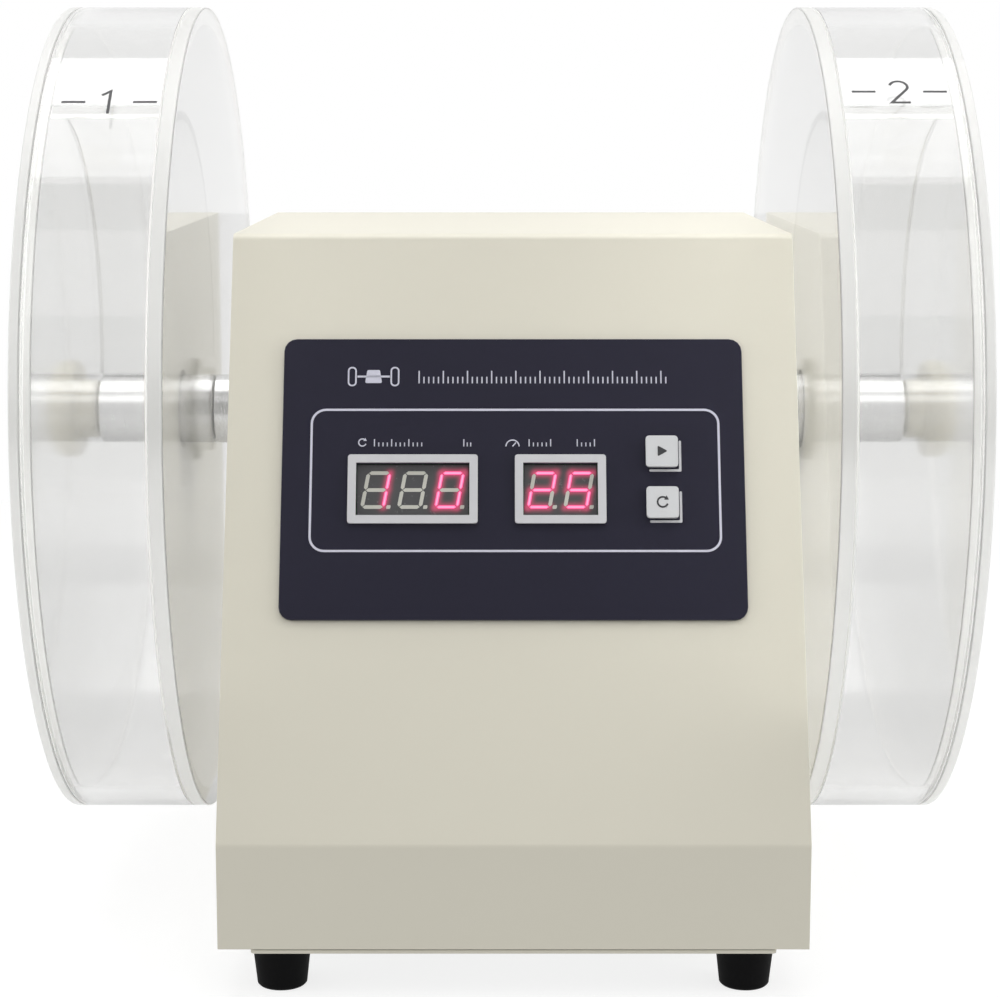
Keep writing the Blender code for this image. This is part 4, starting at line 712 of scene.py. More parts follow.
def copied(name, tree, values, seed_mesh, places, **attributes):
    """Runs a tree that copies a seed's shape to places, with a value per place for each attribute."""
    seed = bpy.data.objects.new(name + "_seed", seed_mesh)
    bpy.context.scene.collection.objects.link(seed)
    points = point_mesh(name + "_points", places, **attributes)
    mesh = grown(name, tree, {**values, "Piece": seed}, points)
    bpy.data.objects.remove(seed)
    return mesh


def ring_tree():
    """A ring of square section with eased edges, about X."""
    tree, given, result = geometry_tree("clear_ring", "Bore Radius", "Wall", "Depth", "Edge Radius",
                                        "Middle", "Height", "Sides", "Material")
    half = math_node(tree, "MULTIPLY", given["Wall"], 0.5)
    radius = math_node(tree, "ADD", given["Bore Radius"], half)
    path = add_node(tree, "GeometryNodeCurvePrimitiveCircle",
                    Resolution=given["Sides"], Radius=radius)
    section = add_node(tree, "GeometryNodeCurvePrimitiveQuadrilateral",
                       Width=given["Wall"], Height=given["Depth"])
    eased_section = add_node(tree, "GeometryNodeFilletCurve", {"mode": "POLY"}, Curve=section,
                             Count=4, Radius=given["Edge Radius"], Limit_Radius=True)
    body = add_node(tree, "GeometryNodeCurveToMesh", Curve=path, Profile_Curve=eased_section)
    placed = add_node(tree, "GeometryNodeTransform", Geometry=body, Rotation=(0, math.pi / 2, 0),
                      Translation=vector(tree, X=given["Middle"], Z=given["Height"]))
    return close_tree(tree, result, placed, given["Material"])


def copies_tree():
    """A copy of one object at each point."""
    tree, given, result = geometry_tree("copies", "Piece", "Material")
    copies = at_points(tree, given, piece_given(tree, given))
    return close_tree(tree, result, copies, given["Material"])


def screws_tree():
    """Screws with crossed slots in their heads, one at each point, facing up Z."""
    tree, given, result = geometry_tree("cross_screws", "Piece", "Slot Length", "Slot Width",
                                        "Slot Depth", "Material")
    depth = math_node(tree, "MULTIPLY", given["Slot Depth"], 2.0)
    cut = add_node(tree, "GeometryNodeMeshBoolean", {"operation": "DIFFERENCE", "solver": "EXACT"},
                   _0=piece_given(tree, given))
    for across, along in (("Slot Length", "Slot Width"), ("Slot Width", "Slot Length")):
        size = vector(tree, X=given[across], Y=given[along], Z=depth)
        set_inputs(tree, cut, _1=add_node(tree, "GeometryNodeMeshCube", Size=size))
    return close_tree(tree, result, at_points(tree, given, cut), given["Material"])


def digits_tree():
    """Bars at points, leaned sideways like a display's digits; lit and unlit ones differ."""
    tree, given, result = geometry_tree("digit_bars", "Piece", "Lean", "Lit", "Unlit")
    size = vector(tree, X=point_value(tree, "reach"), Y=1.0, Z=1.0)
    bars = realized(tree, at_points(tree, given, piece_given(tree, given), Scale=size))
    position = add_node(tree, "GeometryNodeInputPosition")
    up = add_node(tree, "ShaderNodeSeparateXYZ", Vector=position).outputs["Y"]
    shift = vector(tree, X=math_node(tree, "MULTIPLY", up, given["Lean"]))
    leaned = add_node(tree, "GeometryNodeSetPosition", Geometry=bars, Offset=shift)
    lit = add_node(tree, "FunctionNodeCompare", {"data_type": "FLOAT", "operation": "GREATER_THAN"},
                   A=point_value(tree, "on"), B=0.5)
    dark = add_node(tree, "GeometryNodeSetMaterial", Geometry=leaned, Material=given["Unlit"])
    done = add_node(tree, "GeometryNodeSetMaterial", Geometry=dark, Selection=lit,
                    Material=given["Lit"])
    set_inputs(tree, result, Geometry=done)
    return tree


def scale_tree():
    """A straight row of ticks, every few of them taller, standing on the row's line."""
    tree, given, result = geometry_tree("tick_row", "Ticks", "Pitch", "Tall Every", "Width", "Short",
                                        "Tall", "Thickness", "Material")
    line = add_node(tree, "GeometryNodeMeshLine", Count=given["Ticks"],
                    Offset=vector(tree, X=given["Pitch"]))
    index = add_node(tree, "GeometryNodeInputIndex")
    left_over = math_node(tree, "MODULO", index, given["Tall Every"])
    short = math_node(tree, "MINIMUM", left_over, 1.0)
    height = mix_numbers(tree, short, given["Tall"], given["Short"])
    size = vector(tree, X=given["Width"], Y=height, Z=given["Thickness"])
    unit = add_node(tree, "GeometryNodeMeshCube")
    raised = add_node(tree, "GeometryNodeTransform", Geometry=unit, Translation=(0.0, 0.5, 0.5))
    ticks = add_node(tree, "GeometryNodeInstanceOnPoints", Points=line, Instance=raised, Scale=size)
    return close_tree(tree, result, ticks, given["Material"])


# Sizes and colours that a user may change


def colour_setting(name, description, *default):
    return FloatVectorProperty(name=name, description=description, default=default, subtype="COLOR")


def length_setting(name, description, default):
    return FloatProperty(name=name, description=description, default=default, unit="LENGTH")


def number_setting(name, description, default):
    return FloatProperty(name=name, description=description, default=default)


class TesterColours(bpy.types.PropertyGroup):
    paint: colour_setting("Paint", "Housing paint", 0.87, 0.855, 0.795)
    film: colour_setting("Film", "Control panel film", 0.155, 0.15, 0.21)
    rubber: colour_setting("Rubber", "Feet and washers", 0.045, 0.045, 0.05)
    window_colour: colour_setting("Window", "Smoked display window", 0.32, 0.32, 0.325)
    lit_core: colour_setting("Lit core", "Middle of a lit bar", 1.0, 0.72, 0.88)
    lit_edge: colour_setting("Lit edge", "Edge of a lit bar", 1.0, 0.2, 0.52)
    halo_colour: colour_setting("Halo", "Light spilled round a lit bar", 0.75, 0.16, 0.35)
    acrylic_tint: colour_setting("Acrylic", "Tint of the clear drums", 0.972, 0.972, 0.97)
    frosted_tint: colour_setting("Sawn edge", "Tint of the drums' edges", 0.955, 0.955, 0.945)


class TesterDrums(bpy.types.PropertyGroup):
    sides: IntProperty(name="Sides", description="Facets round a drum", default=192, min=24)
    small_sides: IntProperty(name="Small sides", description="Facets round a knob", default=96, min=12)
    edge: length_setting("Edge", "Easing of the acrylic's edges", 0.0005)
    mark_height: length_setting("Mark height", "Height of the numeral on a rim", 0.0115)
    mark_line: length_setting("Mark line", "Width of the numeral's line", 0.0010)
    mark_dash: length_setting("Mark dash", "Length of the dashes beside it", 0.0080)


class TesterPanel(bpy.types.PropertyGroup):
    line: length_setting("Line", "Width of the frame line", 0.0008)
    line_corner: length_setting("Line corner", "Corner radius of the frame line", 0.005)
    print_height: length_setting("Print height", "Thickness of printed marks", 0.00008)
    digit_height: length_setting("Digit height", "Height of a digit's middle lines", 0.0122)
    digit_width: length_setting("Digit width", "Width of a digit's middle lines", 0.0074)
    digit_pitch: length_setting("Digit pitch", "Distance between digits", 0.0128)
    bar_width: length_setting("Bar width", "Width of a bar", 0.0013)
    bar_gap: length_setting("Bar gap", "Gap between bars", 0.00035)
    lean: FloatProperty(
        name="Lean", description="Lean of the digits", default=math.radians(10), unit="ROTATION")
    halo_reach: length_setting("Halo reach", "How far a bar's light spills", 0.0013)


class TesterStage(bpy.types.PropertyGroup):
    lens: number_setting("Lens", "Focal length in millimetres", 87.9)
    key_power: number_setting("Key power", "Overhead lamp in watts", 10.4)
    front_power: number_setting("Front power", "Front lamp in watts", 2.7)
    left_power: number_setting("Left power", "Left lamp in watts", 4.8)
    right_power: number_setting("Right power", "Right lamp in watts", 6.8)
    ambient: number_setting("Ambient", "Light from all round", 0.42)
    veil: number_setting("Veil", "Background seen through acrylic", 0.95)
    floor_tone: number_setting("Floor tone", "Floor's own reflectance", 0.3)
    floor_lift: number_setting("Floor lift", "Floor's brightness to the camera", 0.78)
    floor_glow: number_setting("Floor glow", "Light that the floor gives back to the object", 0.4)
    floor_through: number_setting("Floor through", "Floor's brightness through acrylic", 0.85)
    floor_mirrored: number_setting("Floor mirrored", "Floor's brightness in polished surfaces", 0.72)
    floor_behind: number_setting("Floor behind", "The same for the floor behind the spindle", 0.52)


# Pieces


class DressHousing(bpy.types.Operator):
    """Paints the bent sheet housing, its rear panel and the base"""
    bl_idname = "tester.dress_housing"
    bl_label = "Housing"

    def execute(self, context):
        carry("housing_cover", "painted_housing", "cream_paint", HEAVY_EDGE)
        carry("rear_panel", "painted_rear_panel", "cream_paint", EDGE)
        base = carry("base_plate", "zinc_base", "zinc_steel", EDGE)
        repaint(base.data, "cream_paint", lambda face: abs(face.normal.z) < FACING)
        return {"FINISHED"}


def make_screws(name, nodes, along, turn):
    """Cross-slotted screws in place of a node each; turn takes Z to where their heads face."""
    easing, sides = 0.15 * MM, 32
    slot_length, slot_width, slot_depth = 1.2, 0.25, 0.3
    first_turn, next_turn = 20, 25
    outward = (turn @ Vector((0, 0, 1)))[along]
    middles = [middle_of(node) for node in nodes]
    centre = middles[0].copy()
    centre[along] = 0
    points = meridian(nodes[0], centre, along, X)
    face = max((p for r, p in points), key=lambda p: p * outward)
    outline = [(r, outward * (p - face)) for r, p in outline_of(points)]
    head = max(r for r, p in outline)
    seed = mesh_from(turned(eased(outline, easing, axis=True), sides, Matrix()), name + "_seed")
    seats = []
    for middle in middles:
        middle[along] = face
        seats.append(turn.inverted() @ middle)
    mesh = copied(name, screws_tree(), {
        "Slot Length": head * slot_length, "Slot Width": head * slot_width,
        "Slot Depth": head * slot_depth, "Material": MATERIALS["zinc_steel"],
    }, seed, seats, turn=[math.radians(first_turn + next_turn * k) for k in range(len(seats))])
    mesh.transform(turn)
    smooth(mesh)
    link_piece(name, mesh, "root", nodes)


class DressFeet(bpy.types.Operator):
    """Turns the four rubber feet and their screws"""
    bl_idname = "tester.dress_feet"
    bl_label = "Feet"

    def execute(self, context):
        easing, sides = 0.5 * MM, 64
        screws = nodes_named("foot_screw")
        nodes = [node for node in nodes_named("foot_") if node not in screws]
        middles = [middle_of(node) * Vector((1, 1, 0)) for node in nodes]
        points = meridian(nodes[0], middles[0], Z, X)
        r = sorted({radius for radius, place in points})
        p = sorted({place for radius, place in points})
        outline = [(r[0], p[4]), (r[4], p[4]), (r[5], p[3]), (r[3], p[1]),
                   (r[2], p[0]), (r[1], p[0]), (r[1], p[2]), (r[0], p[2])]
        seed = mesh_from(turned(eased(outline, easing), sides, Matrix()), "foot_seed")
        mesh = copied("rubber_feet", copies_tree(), {"Material": MATERIALS["black_rubber"]}, seed,
                      middles, turn=[0.0] * len(middles))
        smooth(mesh)
        level_normals(link_piece("rubber_feet", mesh, "root", nodes))
        make_screws("foot_screws", screws, Z, Z_TO_FLOOR)
        return {"FINISHED"}


def numeral(digit, height):
    """Centre line of a plain 1 or 2, standing about the origin."""
    half = height / 2
    flag_across, flag_up = height * 0.24, height * 0.3
    if digit == 1:
        return [(-flag_across, flag_up), (0, half), (0, -half)]
    bowl, foot, crown_start, crown_end = height * 0.26, height * 0.286, 165, -35
    crown = arc((0, half - bowl), bowl, crown_start, crown_end, 12)
    return crown + [(-bowl, -half), (foot, -half)]


class DressDrums(bpy.types.Operator):
    """Makes the clear rims, discs, covers and vanes and the marks on the rims"""
    bl_idname = "tester.dress_drums"
    bl_label = "Drums"

    def execute(self, context):
        settings = context.scene.tester_drums
        tree = ring_tree()
        for side in SIDES:
            self.make_rim(side, tree, settings)
            for part in ("back_disc", "cover"):
                disc = turned_piece(side, "drum_" + part, f"{side}_clear_{part}", "clear_acrylic",
                                    settings.edge, settings.sides)
                repaint(disc.data, "sawn_acrylic_edge", lambda face: abs(face.normal.x) < DISC_FLAT)
            vane = carry(f"{side}_drum_vane", f"{side}_clear_vane", "clear_acrylic", EDGE)
            reach = radius_about_spindle(f"{side}_drum_vane") - 1 * MM
            repaint(vane.data, "sawn_acrylic_edge",
                    lambda face: math.hypot(face.center.y, face.center.z - SPINDLE_Z) > reach)
            self.mark_rim(side, settings)
        return {"FINISHED"}

    def make_rim(self, side, tree, settings):
        node, name = f"{side}_drum_rim", f"{side}_clear_rim"
        radii = [r for r, p in meridian(node, SPINDLE, X, Y)]
        low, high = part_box(node)
        mesh = grown(name, tree, {
            "Bore Radius": min(radii), "Wall": max(radii) - min(radii), "Depth": high[0] - low[0],
            "Edge Radius": settings.edge, "Middle": (low[0] + high[0]) / 2, "Height": SPINDLE_Z,
            "Sides": settings.sides, "Material": MATERIALS["clear_acrylic"],
        })
        smooth(mesh)
        repaint(mesh, "sawn_acrylic_edge", lambda face: abs(face.normal.x) > RIM_END)
        level_normals(link_piece(name, mesh, f"{side}_drum", [node]))

    def mark_rim(self, side, settings):
        """A plain numeral between two dashes, printed on the rim."""
        digit, middle, angle = MARKS[side]
        put = on_rim(middle, angle, radius_about_spindle(f"{side}_drum_rim"))
        marks = Marks(put, 0.02 * MM, 0.07 * MM)
        marks.line(divided(numeral(digit, settings.mark_height), 2 * MM), settings.mark_line)
        dash = settings.mark_dash
        for sign in (-1, 1):
            marks.line([(sign * dash, 0), (sign * 2 * dash, 0)], settings.mark_line)
        marks.show(f"{side}_rim_mark", f"{side}_drum", "dark_ink")


class DressHubs(bpy.types.Operator):
    """Finishes the hubs, washers, spindle and knobs"""
    bl_idname = "tester.dress_hubs"
    bl_label = "Hubs, spindle and knobs"

    def execute(self, context):
        sides = context.scene.tester_drums.small_sides
        carry("spindle", "bright_spindle", "bright_steel", EDGE)
        for side in SIDES:
            carry(f"{side}_drum_hub", f"{side}_bright_hub", "bright_steel", EDGE)
            turned_piece(side, "hub_washer", f"{side}_rubber_washer", "black_rubber", HEAVY_EDGE, sides)
            self.make_knob(side, sides)
        return {"FINISHED"}

    def make_knob(self, side, sides):
        """The domed knob, with its blind bore for the stud."""
        easing = 0.5 * MM
        node, name = f"{side}_knob", f"{side}_ivory_knob"
        points = meridian(node, SPINDLE, X, Y)
        start, tip = min(p for r, p in points), max(p for r, p in points)
        bore = min(r for r, p in points if p == start)
        bore_end = max(p for r, p in points if r == bore)
        outer = sorted(((r, p) for r, p in points if r not in (0, bore)), key=lambda c: (c[1], c[0]))
        outline = outer + [(0, tip), (0, bore_end), (bore, bore_end), (bore, start)]
        builder = turned(eased(outline, easing, axis=True), sides, along_spindle(side))
        mesh = mesh_from(builder, name, "ivory_plastic")
        level_normals(link_piece(name, mesh, node, [node]))


def print_panel(settings):
    """The frame line, the rows of ticks and the pictograms, as one print."""
    marks = Marks(on_plane(PANEL), high=settings.print_height)
    frame_middle, frame_width, frame_height = (0.7 * MM, -0.9 * MM), 142.2 * MM, 50.8 * MM
    title_base, label_base = 33.4 * MM, 11.2 * MM
    marks.line(rounded_box(frame_middle, frame_width, frame_height, settings.line_corner, 8),
               settings.line, closed=True)

    # Two drums on a spindle that goes through a body
    left_drum, right_drum = -56.5 * MM, -41.5 * MM
    drum_width, drum_height = 2.6 * MM, 6.6 * MM
    middle = title_base + drum_height / 2
    for x in (left_drum, right_drum):
        shell = rounded_box((x, middle), drum_width, drum_height, 1.2 * MM, 5)
        marks.line(shell, 0.55 * MM, closed=True)
    gap = drum_width / 2 + 0.5 * MM
    marks.line([(left_drum + gap, middle), (right_drum - gap, middle)], 0.7 * MM)
    body_middle, body_base, body_top, body_up = (left_drum + right_drum) / 2, 3.0 * MM, 2.2 * MM, 2.4 * MM
    marks.shape(eased([
        (body_middle - body_base, middle - body_up), (body_middle + body_base, middle - body_up),
        (body_middle + body_top, middle + body_up), (body_middle - body_top, middle + body_up),
    ], 0.5 * MM))

    # A turning arrow for the turns and a dial with a needle for the speed
    fine_line = 0.42 * MM
    marks.arrow_ring((-52.6 * MM, label_base + 1.4 * MM), 1.3 * MM, fine_line)
    dial = Vector((-0.2 * MM, label_base))
    marks.line(arc(dial, 2.3 * MM, 180, 0, 16), fine_line)
    marks.line([dial, dial + Vector((1.2 * MM, 1.4 * MM))], fine_line)

    title = {"Ticks": 52, "Pitch": 1.7 * MM, "Tall Every": 5,
             "Width": 0.45 * MM, "Short": 2.4 * MM, "Tall": 4.6 * MM}
    label = {"Pitch": 1.5 * MM, "Width": 0.38 * MM, "Short": 1.4 * MM, "Tall": 2.6 * MM}
    rows = (
        (-33.0 * MM, title_base + 0.8 * MM, title),
        (-48.4 * MM, label_base, {**label, "Ticks": 12, "Tall Every": 4}),
        (-17.2 * MM, label_base, {**label, "Ticks": 3, "Tall Every": 5, "Pitch": 1.2 * MM}),
        (5.6 * MM, label_base, {**label, "Ticks": 6, "Tall Every": 5}),
        (22.4 * MM, label_base, {**label, "Ticks": 5, "Tall Every": 4}),
    )
    tree = scale_tree()
    for x, y, sizes in rows:
        ticks = grown("ticks", tree, {
            **sizes, "Thickness": marks.high - marks.low, "Material": MATERIALS["white_ink"],
        })
        ticks.transform(PANEL @ Matrix.Translation((x, y, marks.low)))
        marks.builder.from_mesh(ticks)
    marks.show("panel_print", "root", "white_ink")


def bar_mesh(length, width, thickness):
    """One bar with pointed ends; heart is 1 along its middle line and 0 at its outline."""
    half, shoulder, side = length / 2, (length - width) / 2, width / 2
    outline = [(-half, 0), (-shoulder, -side), (shoulder, -side),
               (half, 0), (shoulder, side), (-shoulder, side)]
    builder = bmesh.new()
    rim = [builder.verts.new((x, y, thickness)) for x, y in outline]
    left, right = [builder.verts.new((x, 0, thickness)) for x in (-shoulder, shoulder)]
    foot = [builder.verts.new((x, y, 0)) for x, y in outline]
    tops = ((rim[0], rim[1], left), (rim[1], rim[2], right, left), (rim[2], rim[3], right),
            (rim[3], rim[4], right), (rim[4], rim[5], left, right), (rim[5], rim[0], left))
    for corners in tops:
        builder.faces.new(corners)
    builder.faces.new(foot[::-1])
    for i in range(len(rim)):
        builder.faces.new((rim[i - 1], foot[i - 1], foot[i], rim[i]))
    mesh = mesh_from(builder, "bar", "unlit_bar")
    set_attribute(mesh, "heart", [
        float(abs(v.co.y) < MERGE and v.co.z > thickness / 2 and abs(v.co.x) < half - MERGE)
        for v in mesh.vertices
    ])
    return mesh


def digit_bars(reading, settings):
    """Rows of (x, y, turn, reach, on) for each bar and point of a display's digits."""
    point_gap, point_size = 1.35, 1.2
    half_width, half_height = settings.digit_width / 2, settings.digit_height / 2
    upright = half_height - settings.bar_gap
    across = settings.digit_width - settings.bar_gap
    rows = []
    for k, character in enumerate(reading):
        middle = (k - (len(reading) - 1) / 2) * settings.digit_pitch
        for name, (x, y, standing) in SEGMENTS.items():
            turn, reach = (math.pi / 2, 1.0) if standing else (0.0, across / upright)
            on = float(name in LIT_SEGMENTS[character])
            rows.append((middle + x * half_width, y * half_height, turn, reach, on))
        point = middle + half_width + settings.bar_width * point_gap
        rows.append((point, -half_height, 0.0, settings.bar_width * point_size / upright, 0.0))
    return rows


def spill_at(x, y, bars, settings):
    """Share of red light that reaches a place on the window from the lit bars round it."""
    dark = 1.0
    half = (settings.digit_height / 2 - settings.bar_gap) / 2
    x -= y * math.tan(settings.lean)
    for bar_x, bar_y, turn, reach, on in bars:
        if on:
            along, beside = (y - bar_y, x - bar_x) if turn else (x - bar_x, y - bar_y)
            distance = math.hypot(max(abs(along) - half * reach, 0.0), beside)
            dark *= 1 - math.exp(-(distance / settings.halo_reach) ** 2)
    return 1 - dark


def make_display(kind, settings):
    """A smoked window with its red spill, and the digits on it."""
    node = f"{kind}_display"
    low, high = local_box(node, PANEL)
    width, height, depth = high - low
    place = PANEL @ Matrix.Translation(((low.x + high.x) / 2, (low.y + high.y) / 2, high.z))
    bars = digit_bars(READINGS[kind], settings)
    grid_step, bar_lift = 0.4 * MM, 0.01 * MM
    builder = bmesh.new()
    bmesh.ops.create_grid(builder, x_segments=round(width / grid_step),
                          y_segments=round(height / grid_step), size=0.5)
    bmesh.ops.scale(builder, vec=(width, height, 1), verts=builder.verts)
    extruded = bmesh.ops.extrude_face_region(builder, geom=builder.faces[:])["geom"]
    lower = [v for v in extruded if isinstance(v, bmesh.types.BMVert)]
    bmesh.ops.translate(builder, vec=(0, 0, -depth), verts=lower)
    mesh = mesh_from(builder, f"{kind}_window", "display_face")
    set_attribute(mesh, "spill", [spill_at(v.co.x, v.co.y, bars, settings) for v in mesh.vertices])
    mesh.transform(place)
    link_piece(f"{kind}_window", mesh, "root", [node])

    seed = bar_mesh(settings.digit_height / 2 - settings.bar_gap, settings.bar_width,
                    settings.print_height)
    x, y, turn, reach, on = zip(*bars)
    digits = copied(f"{kind}_digits", digits_tree(), {
        "Lean": math.tan(settings.lean), "Lit": MATERIALS["lit_bar"], "Unlit": MATERIALS["unlit_bar"],
    }, seed, [(a, b, bar_lift) for a, b in zip(x, y)], turn=turn, reach=reach, on=on)
    digits.transform(place)
    link_piece(f"{kind}_digits", digits, "root")


class DressPanel(bpy.types.Operator):
    """Makes the panel film, its print, the displays and the keys"""
    bl_idname = "tester.dress_panel"
    bl_label = "Control panel"

    def execute(self, context):
        settings = context.scene.tester_panel
        carry("control_panel", "panel_film", "navy_film", FINE_EDGE)
        print_panel(settings)
        for kind in READINGS:
            carry(f"{kind}_bezel", f"{kind}_window_frame", "grey_plastic", FINE_EDGE)
            make_display(kind, settings)
        self.make_keys(settings)
        carry("display_board", "coated_display_board", "green_board")
        return {"FINISHED"}

    def make_keys(self, settings):
        """The two keys with a pictogram each, and the grey strip that shows beside them."""
        strips = Marks(on_plane(PANEL), high=0.2 * MM)
        near, far, step, top = -4.35 * MM, 6.85 * MM, 0.85 * MM, 4.35 * MM
        for kind in ("start", "reset"):
            node = f"{kind}_key"
            carry(node, f"{kind}_key_cap", "key_plastic", HEAVY_EDGE)
            carry(f"{kind}_switch", f"{kind}_switch_block", "black_plastic", FINE_EDGE)
            sign = Marks(on_plane(face_frame(node, FRONT)), high=settings.print_height)
            if kind == "start":
                play = [(-1.5 * MM, -2.0 * MM), (2.0 * MM, 0), (-1.5 * MM, 2.0 * MM)]
                sign.shape(eased(play, 0.3 * MM))
            else:
                sign.arrow_ring((0, 0), 1.8 * MM, 0.6 * MM)
            sign.show(f"{kind}_key_sign", node, "dark_ink")
            low, high = local_box(node, PANEL)
            x, y = (low.x + high.x) / 2, (low.y + high.y) / 2
            strips.shape(eased([
                (x + far - step, y + top), (x + far, y + top), (x + far, y - far),
                (x + near, y - far), (x + near, y - far + step), (x + far - step, y - far + step),
            ], 0.4 * MM))
        strips.show("key_side_strips", "root", "grey_plastic")


class DressRear(bpy.types.Operator):
    """Finishes the mains inlet, the switch, the fuse holder and the screws"""
    bl_idname = "tester.dress_rear"
    bl_label = "Rear fittings"

    def execute(self, context):
        carry("power_switch_frame", "switch_frame", "black_plastic", EDGE)
        carry("power_rocker", "switch_rocker", "black_plastic", EDGE)
        inlet = carry("power_inlet", "mains_inlet", "black_plastic", EDGE)
        self.plate_pins(inlet.data)
        self.mark_rocker()
        self.make_fuse_cap()
        make_screws("panel_screws", nodes_named("rear_screw"), Y, Z_TO_BACK)
        return {"FINISHED"}

    def plate_pins(self, mesh):
        """Nickel on the three pins inside the socket."""
        spread, step, half_width, half_height = 7 * MM, 2 * MM, 1.3 * MM, 2.3 * MM
        largest_face = 60 * MM * MM
        middle = middle_of("power_inlet")
        pins = [middle + Vector((k * spread, 0, -step if k else step)) for k in (-1, 0, 1)]

        def on_pin(face):
            offsets = [face.center - pin for pin in pins]
            return face.area < largest_face and any(
                abs(offset.x) < half_width and abs(offset.z) < half_height for offset in offsets)

        repaint(mesh, "nickel", on_pin)

    def mark_rocker(self):
        """I on the rocker's upper half and O on its lower half."""
        half_height, radius, width = 1.7 * MM, 1.6 * MM, 0.6 * MM
        halves = [face_frame("power_rocker", BACK, rank) for rank in (0, 1)]
        upper, lower = sorted(halves, key=lambda half: -half.translation.z)
        signs = Marks(on_plane(upper))
        signs.line([(0, -half_height), (0, half_height)], width)
        signs.put = on_plane(lower)
        signs.line(arc((0, 0), radius, 0, 350, 35), width, closed=True)
        signs.show("rocker_signs", "power_rocker", "white_ink")

    def make_fuse_cap(self):
        """The fuse holder and the ribs round its cap."""
        ribs, rib_radius, sunk = 24, 0.45 * MM, 0.1 * MM
        start, length = 0.8 * MM, 5.4 * MM
        carry("fuse_holder", "fuse_cap", "black_plastic", EDGE)
        low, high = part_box("fuse_holder")
        middle = middle_of("fuse_holder")
        radius = (high[0] - low[0]) / 2
        rib = Marks(on_plane(Matrix()), -start - length, -start)
        rib.shape(arc((radius - sunk, 0), rib_radius, -90, 90, 4))
        mesh = copied("fuse_cap_ribs", copies_tree(), {"Material": MATERIALS["black_plastic"]},
                      mesh_from(rib.builder, "rib_seed"), [(0, 0, 0)] * ribs,
                      turn=[math.tau * k / ribs for k in range(ribs)])
        mesh.transform(Matrix.Translation((middle.x, high[1], middle.z)) @ Z_TO_BACK)
        smooth(mesh)
        link_piece("fuse_cap_ribs", mesh, "root")


class DressInside(bpy.types.Operator):
    """Finishes the drive, bearings and boards inside the housing"""
    bl_idname = "tester.dress_inside"
    bl_label = "Inside"

    def execute(self, context):
        rows = (
            ("bearing_support_left", "left_support", "cast_aluminium", HEAVY_EDGE),
            ("bearing_support_right", "right_support", "cast_aluminium", HEAVY_EDGE),
            ("bearing_left", "left_ball_bearing", "bearing_steel", FINE_EDGE),
            ("bearing_right", "right_ball_bearing", "bearing_steel", FINE_EDGE),
            ("drive_gear", "brass_drive_gear", "brass", 0),
            ("motor_pinion", "brass_pinion", "brass", 0),
            ("encoder_disc", "slotted_disc", "black_plastic", 0),
            ("revolution_sensor", "slot_sensor", "black_plastic", FINE_EDGE),
            ("gearbox", "cast_gearbox", "cast_aluminium", HEAVY_EDGE),
            ("motor", "round_motor", "motor_steel", HEAVY_EDGE),
            ("motor_bracket", "zinc_bracket", "zinc_steel", FINE_EDGE),
            ("output_shaft", "bright_output_shaft", "bright_steel", FINE_EDGE),
            ("main_board", "coated_main_board", "green_board", 0),
            ("transformer", "laminated_transformer", "motor_steel", EDGE),
        )
        pieces = {row[0]: carry(*row) for row in rows}
        parts_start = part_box("main_board")[0][2] + 10 * MM
        repaint(pieces["main_board"].data, "black_plastic", lambda face: face.center.z > parts_start)
        core = middle_of("transformer")
        winding_width, winding_height = 35 * MM, 32 * MM
        repaint(pieces["transformer"].data, "taped_winding",
                lambda face: abs(face.center.x - core.x) < winding_width / 2
                and abs(face.center.z - core.z) < winding_height / 2)
        return {"FINISHED"}


# Studio


def seen_by(tree, brightness, **rays):
    """A brightness that each kind of ray named may replace, the last that applies ruling."""
    path = add_node(tree, "ShaderNodeLightPath").outputs
    for kind, seen in rays.items():
        brightness = mix_numbers(tree, path[f"Is {kind} Ray"], brightness, seen)
    return brightness


def surroundings(tree, settings, mirrored):
    """Brightness of the empty studio; mirrored is for polished surfaces."""
    return seen_by(tree, settings.ambient, Glossy=mirrored, Transmission=settings.veil, Camera=1.0)


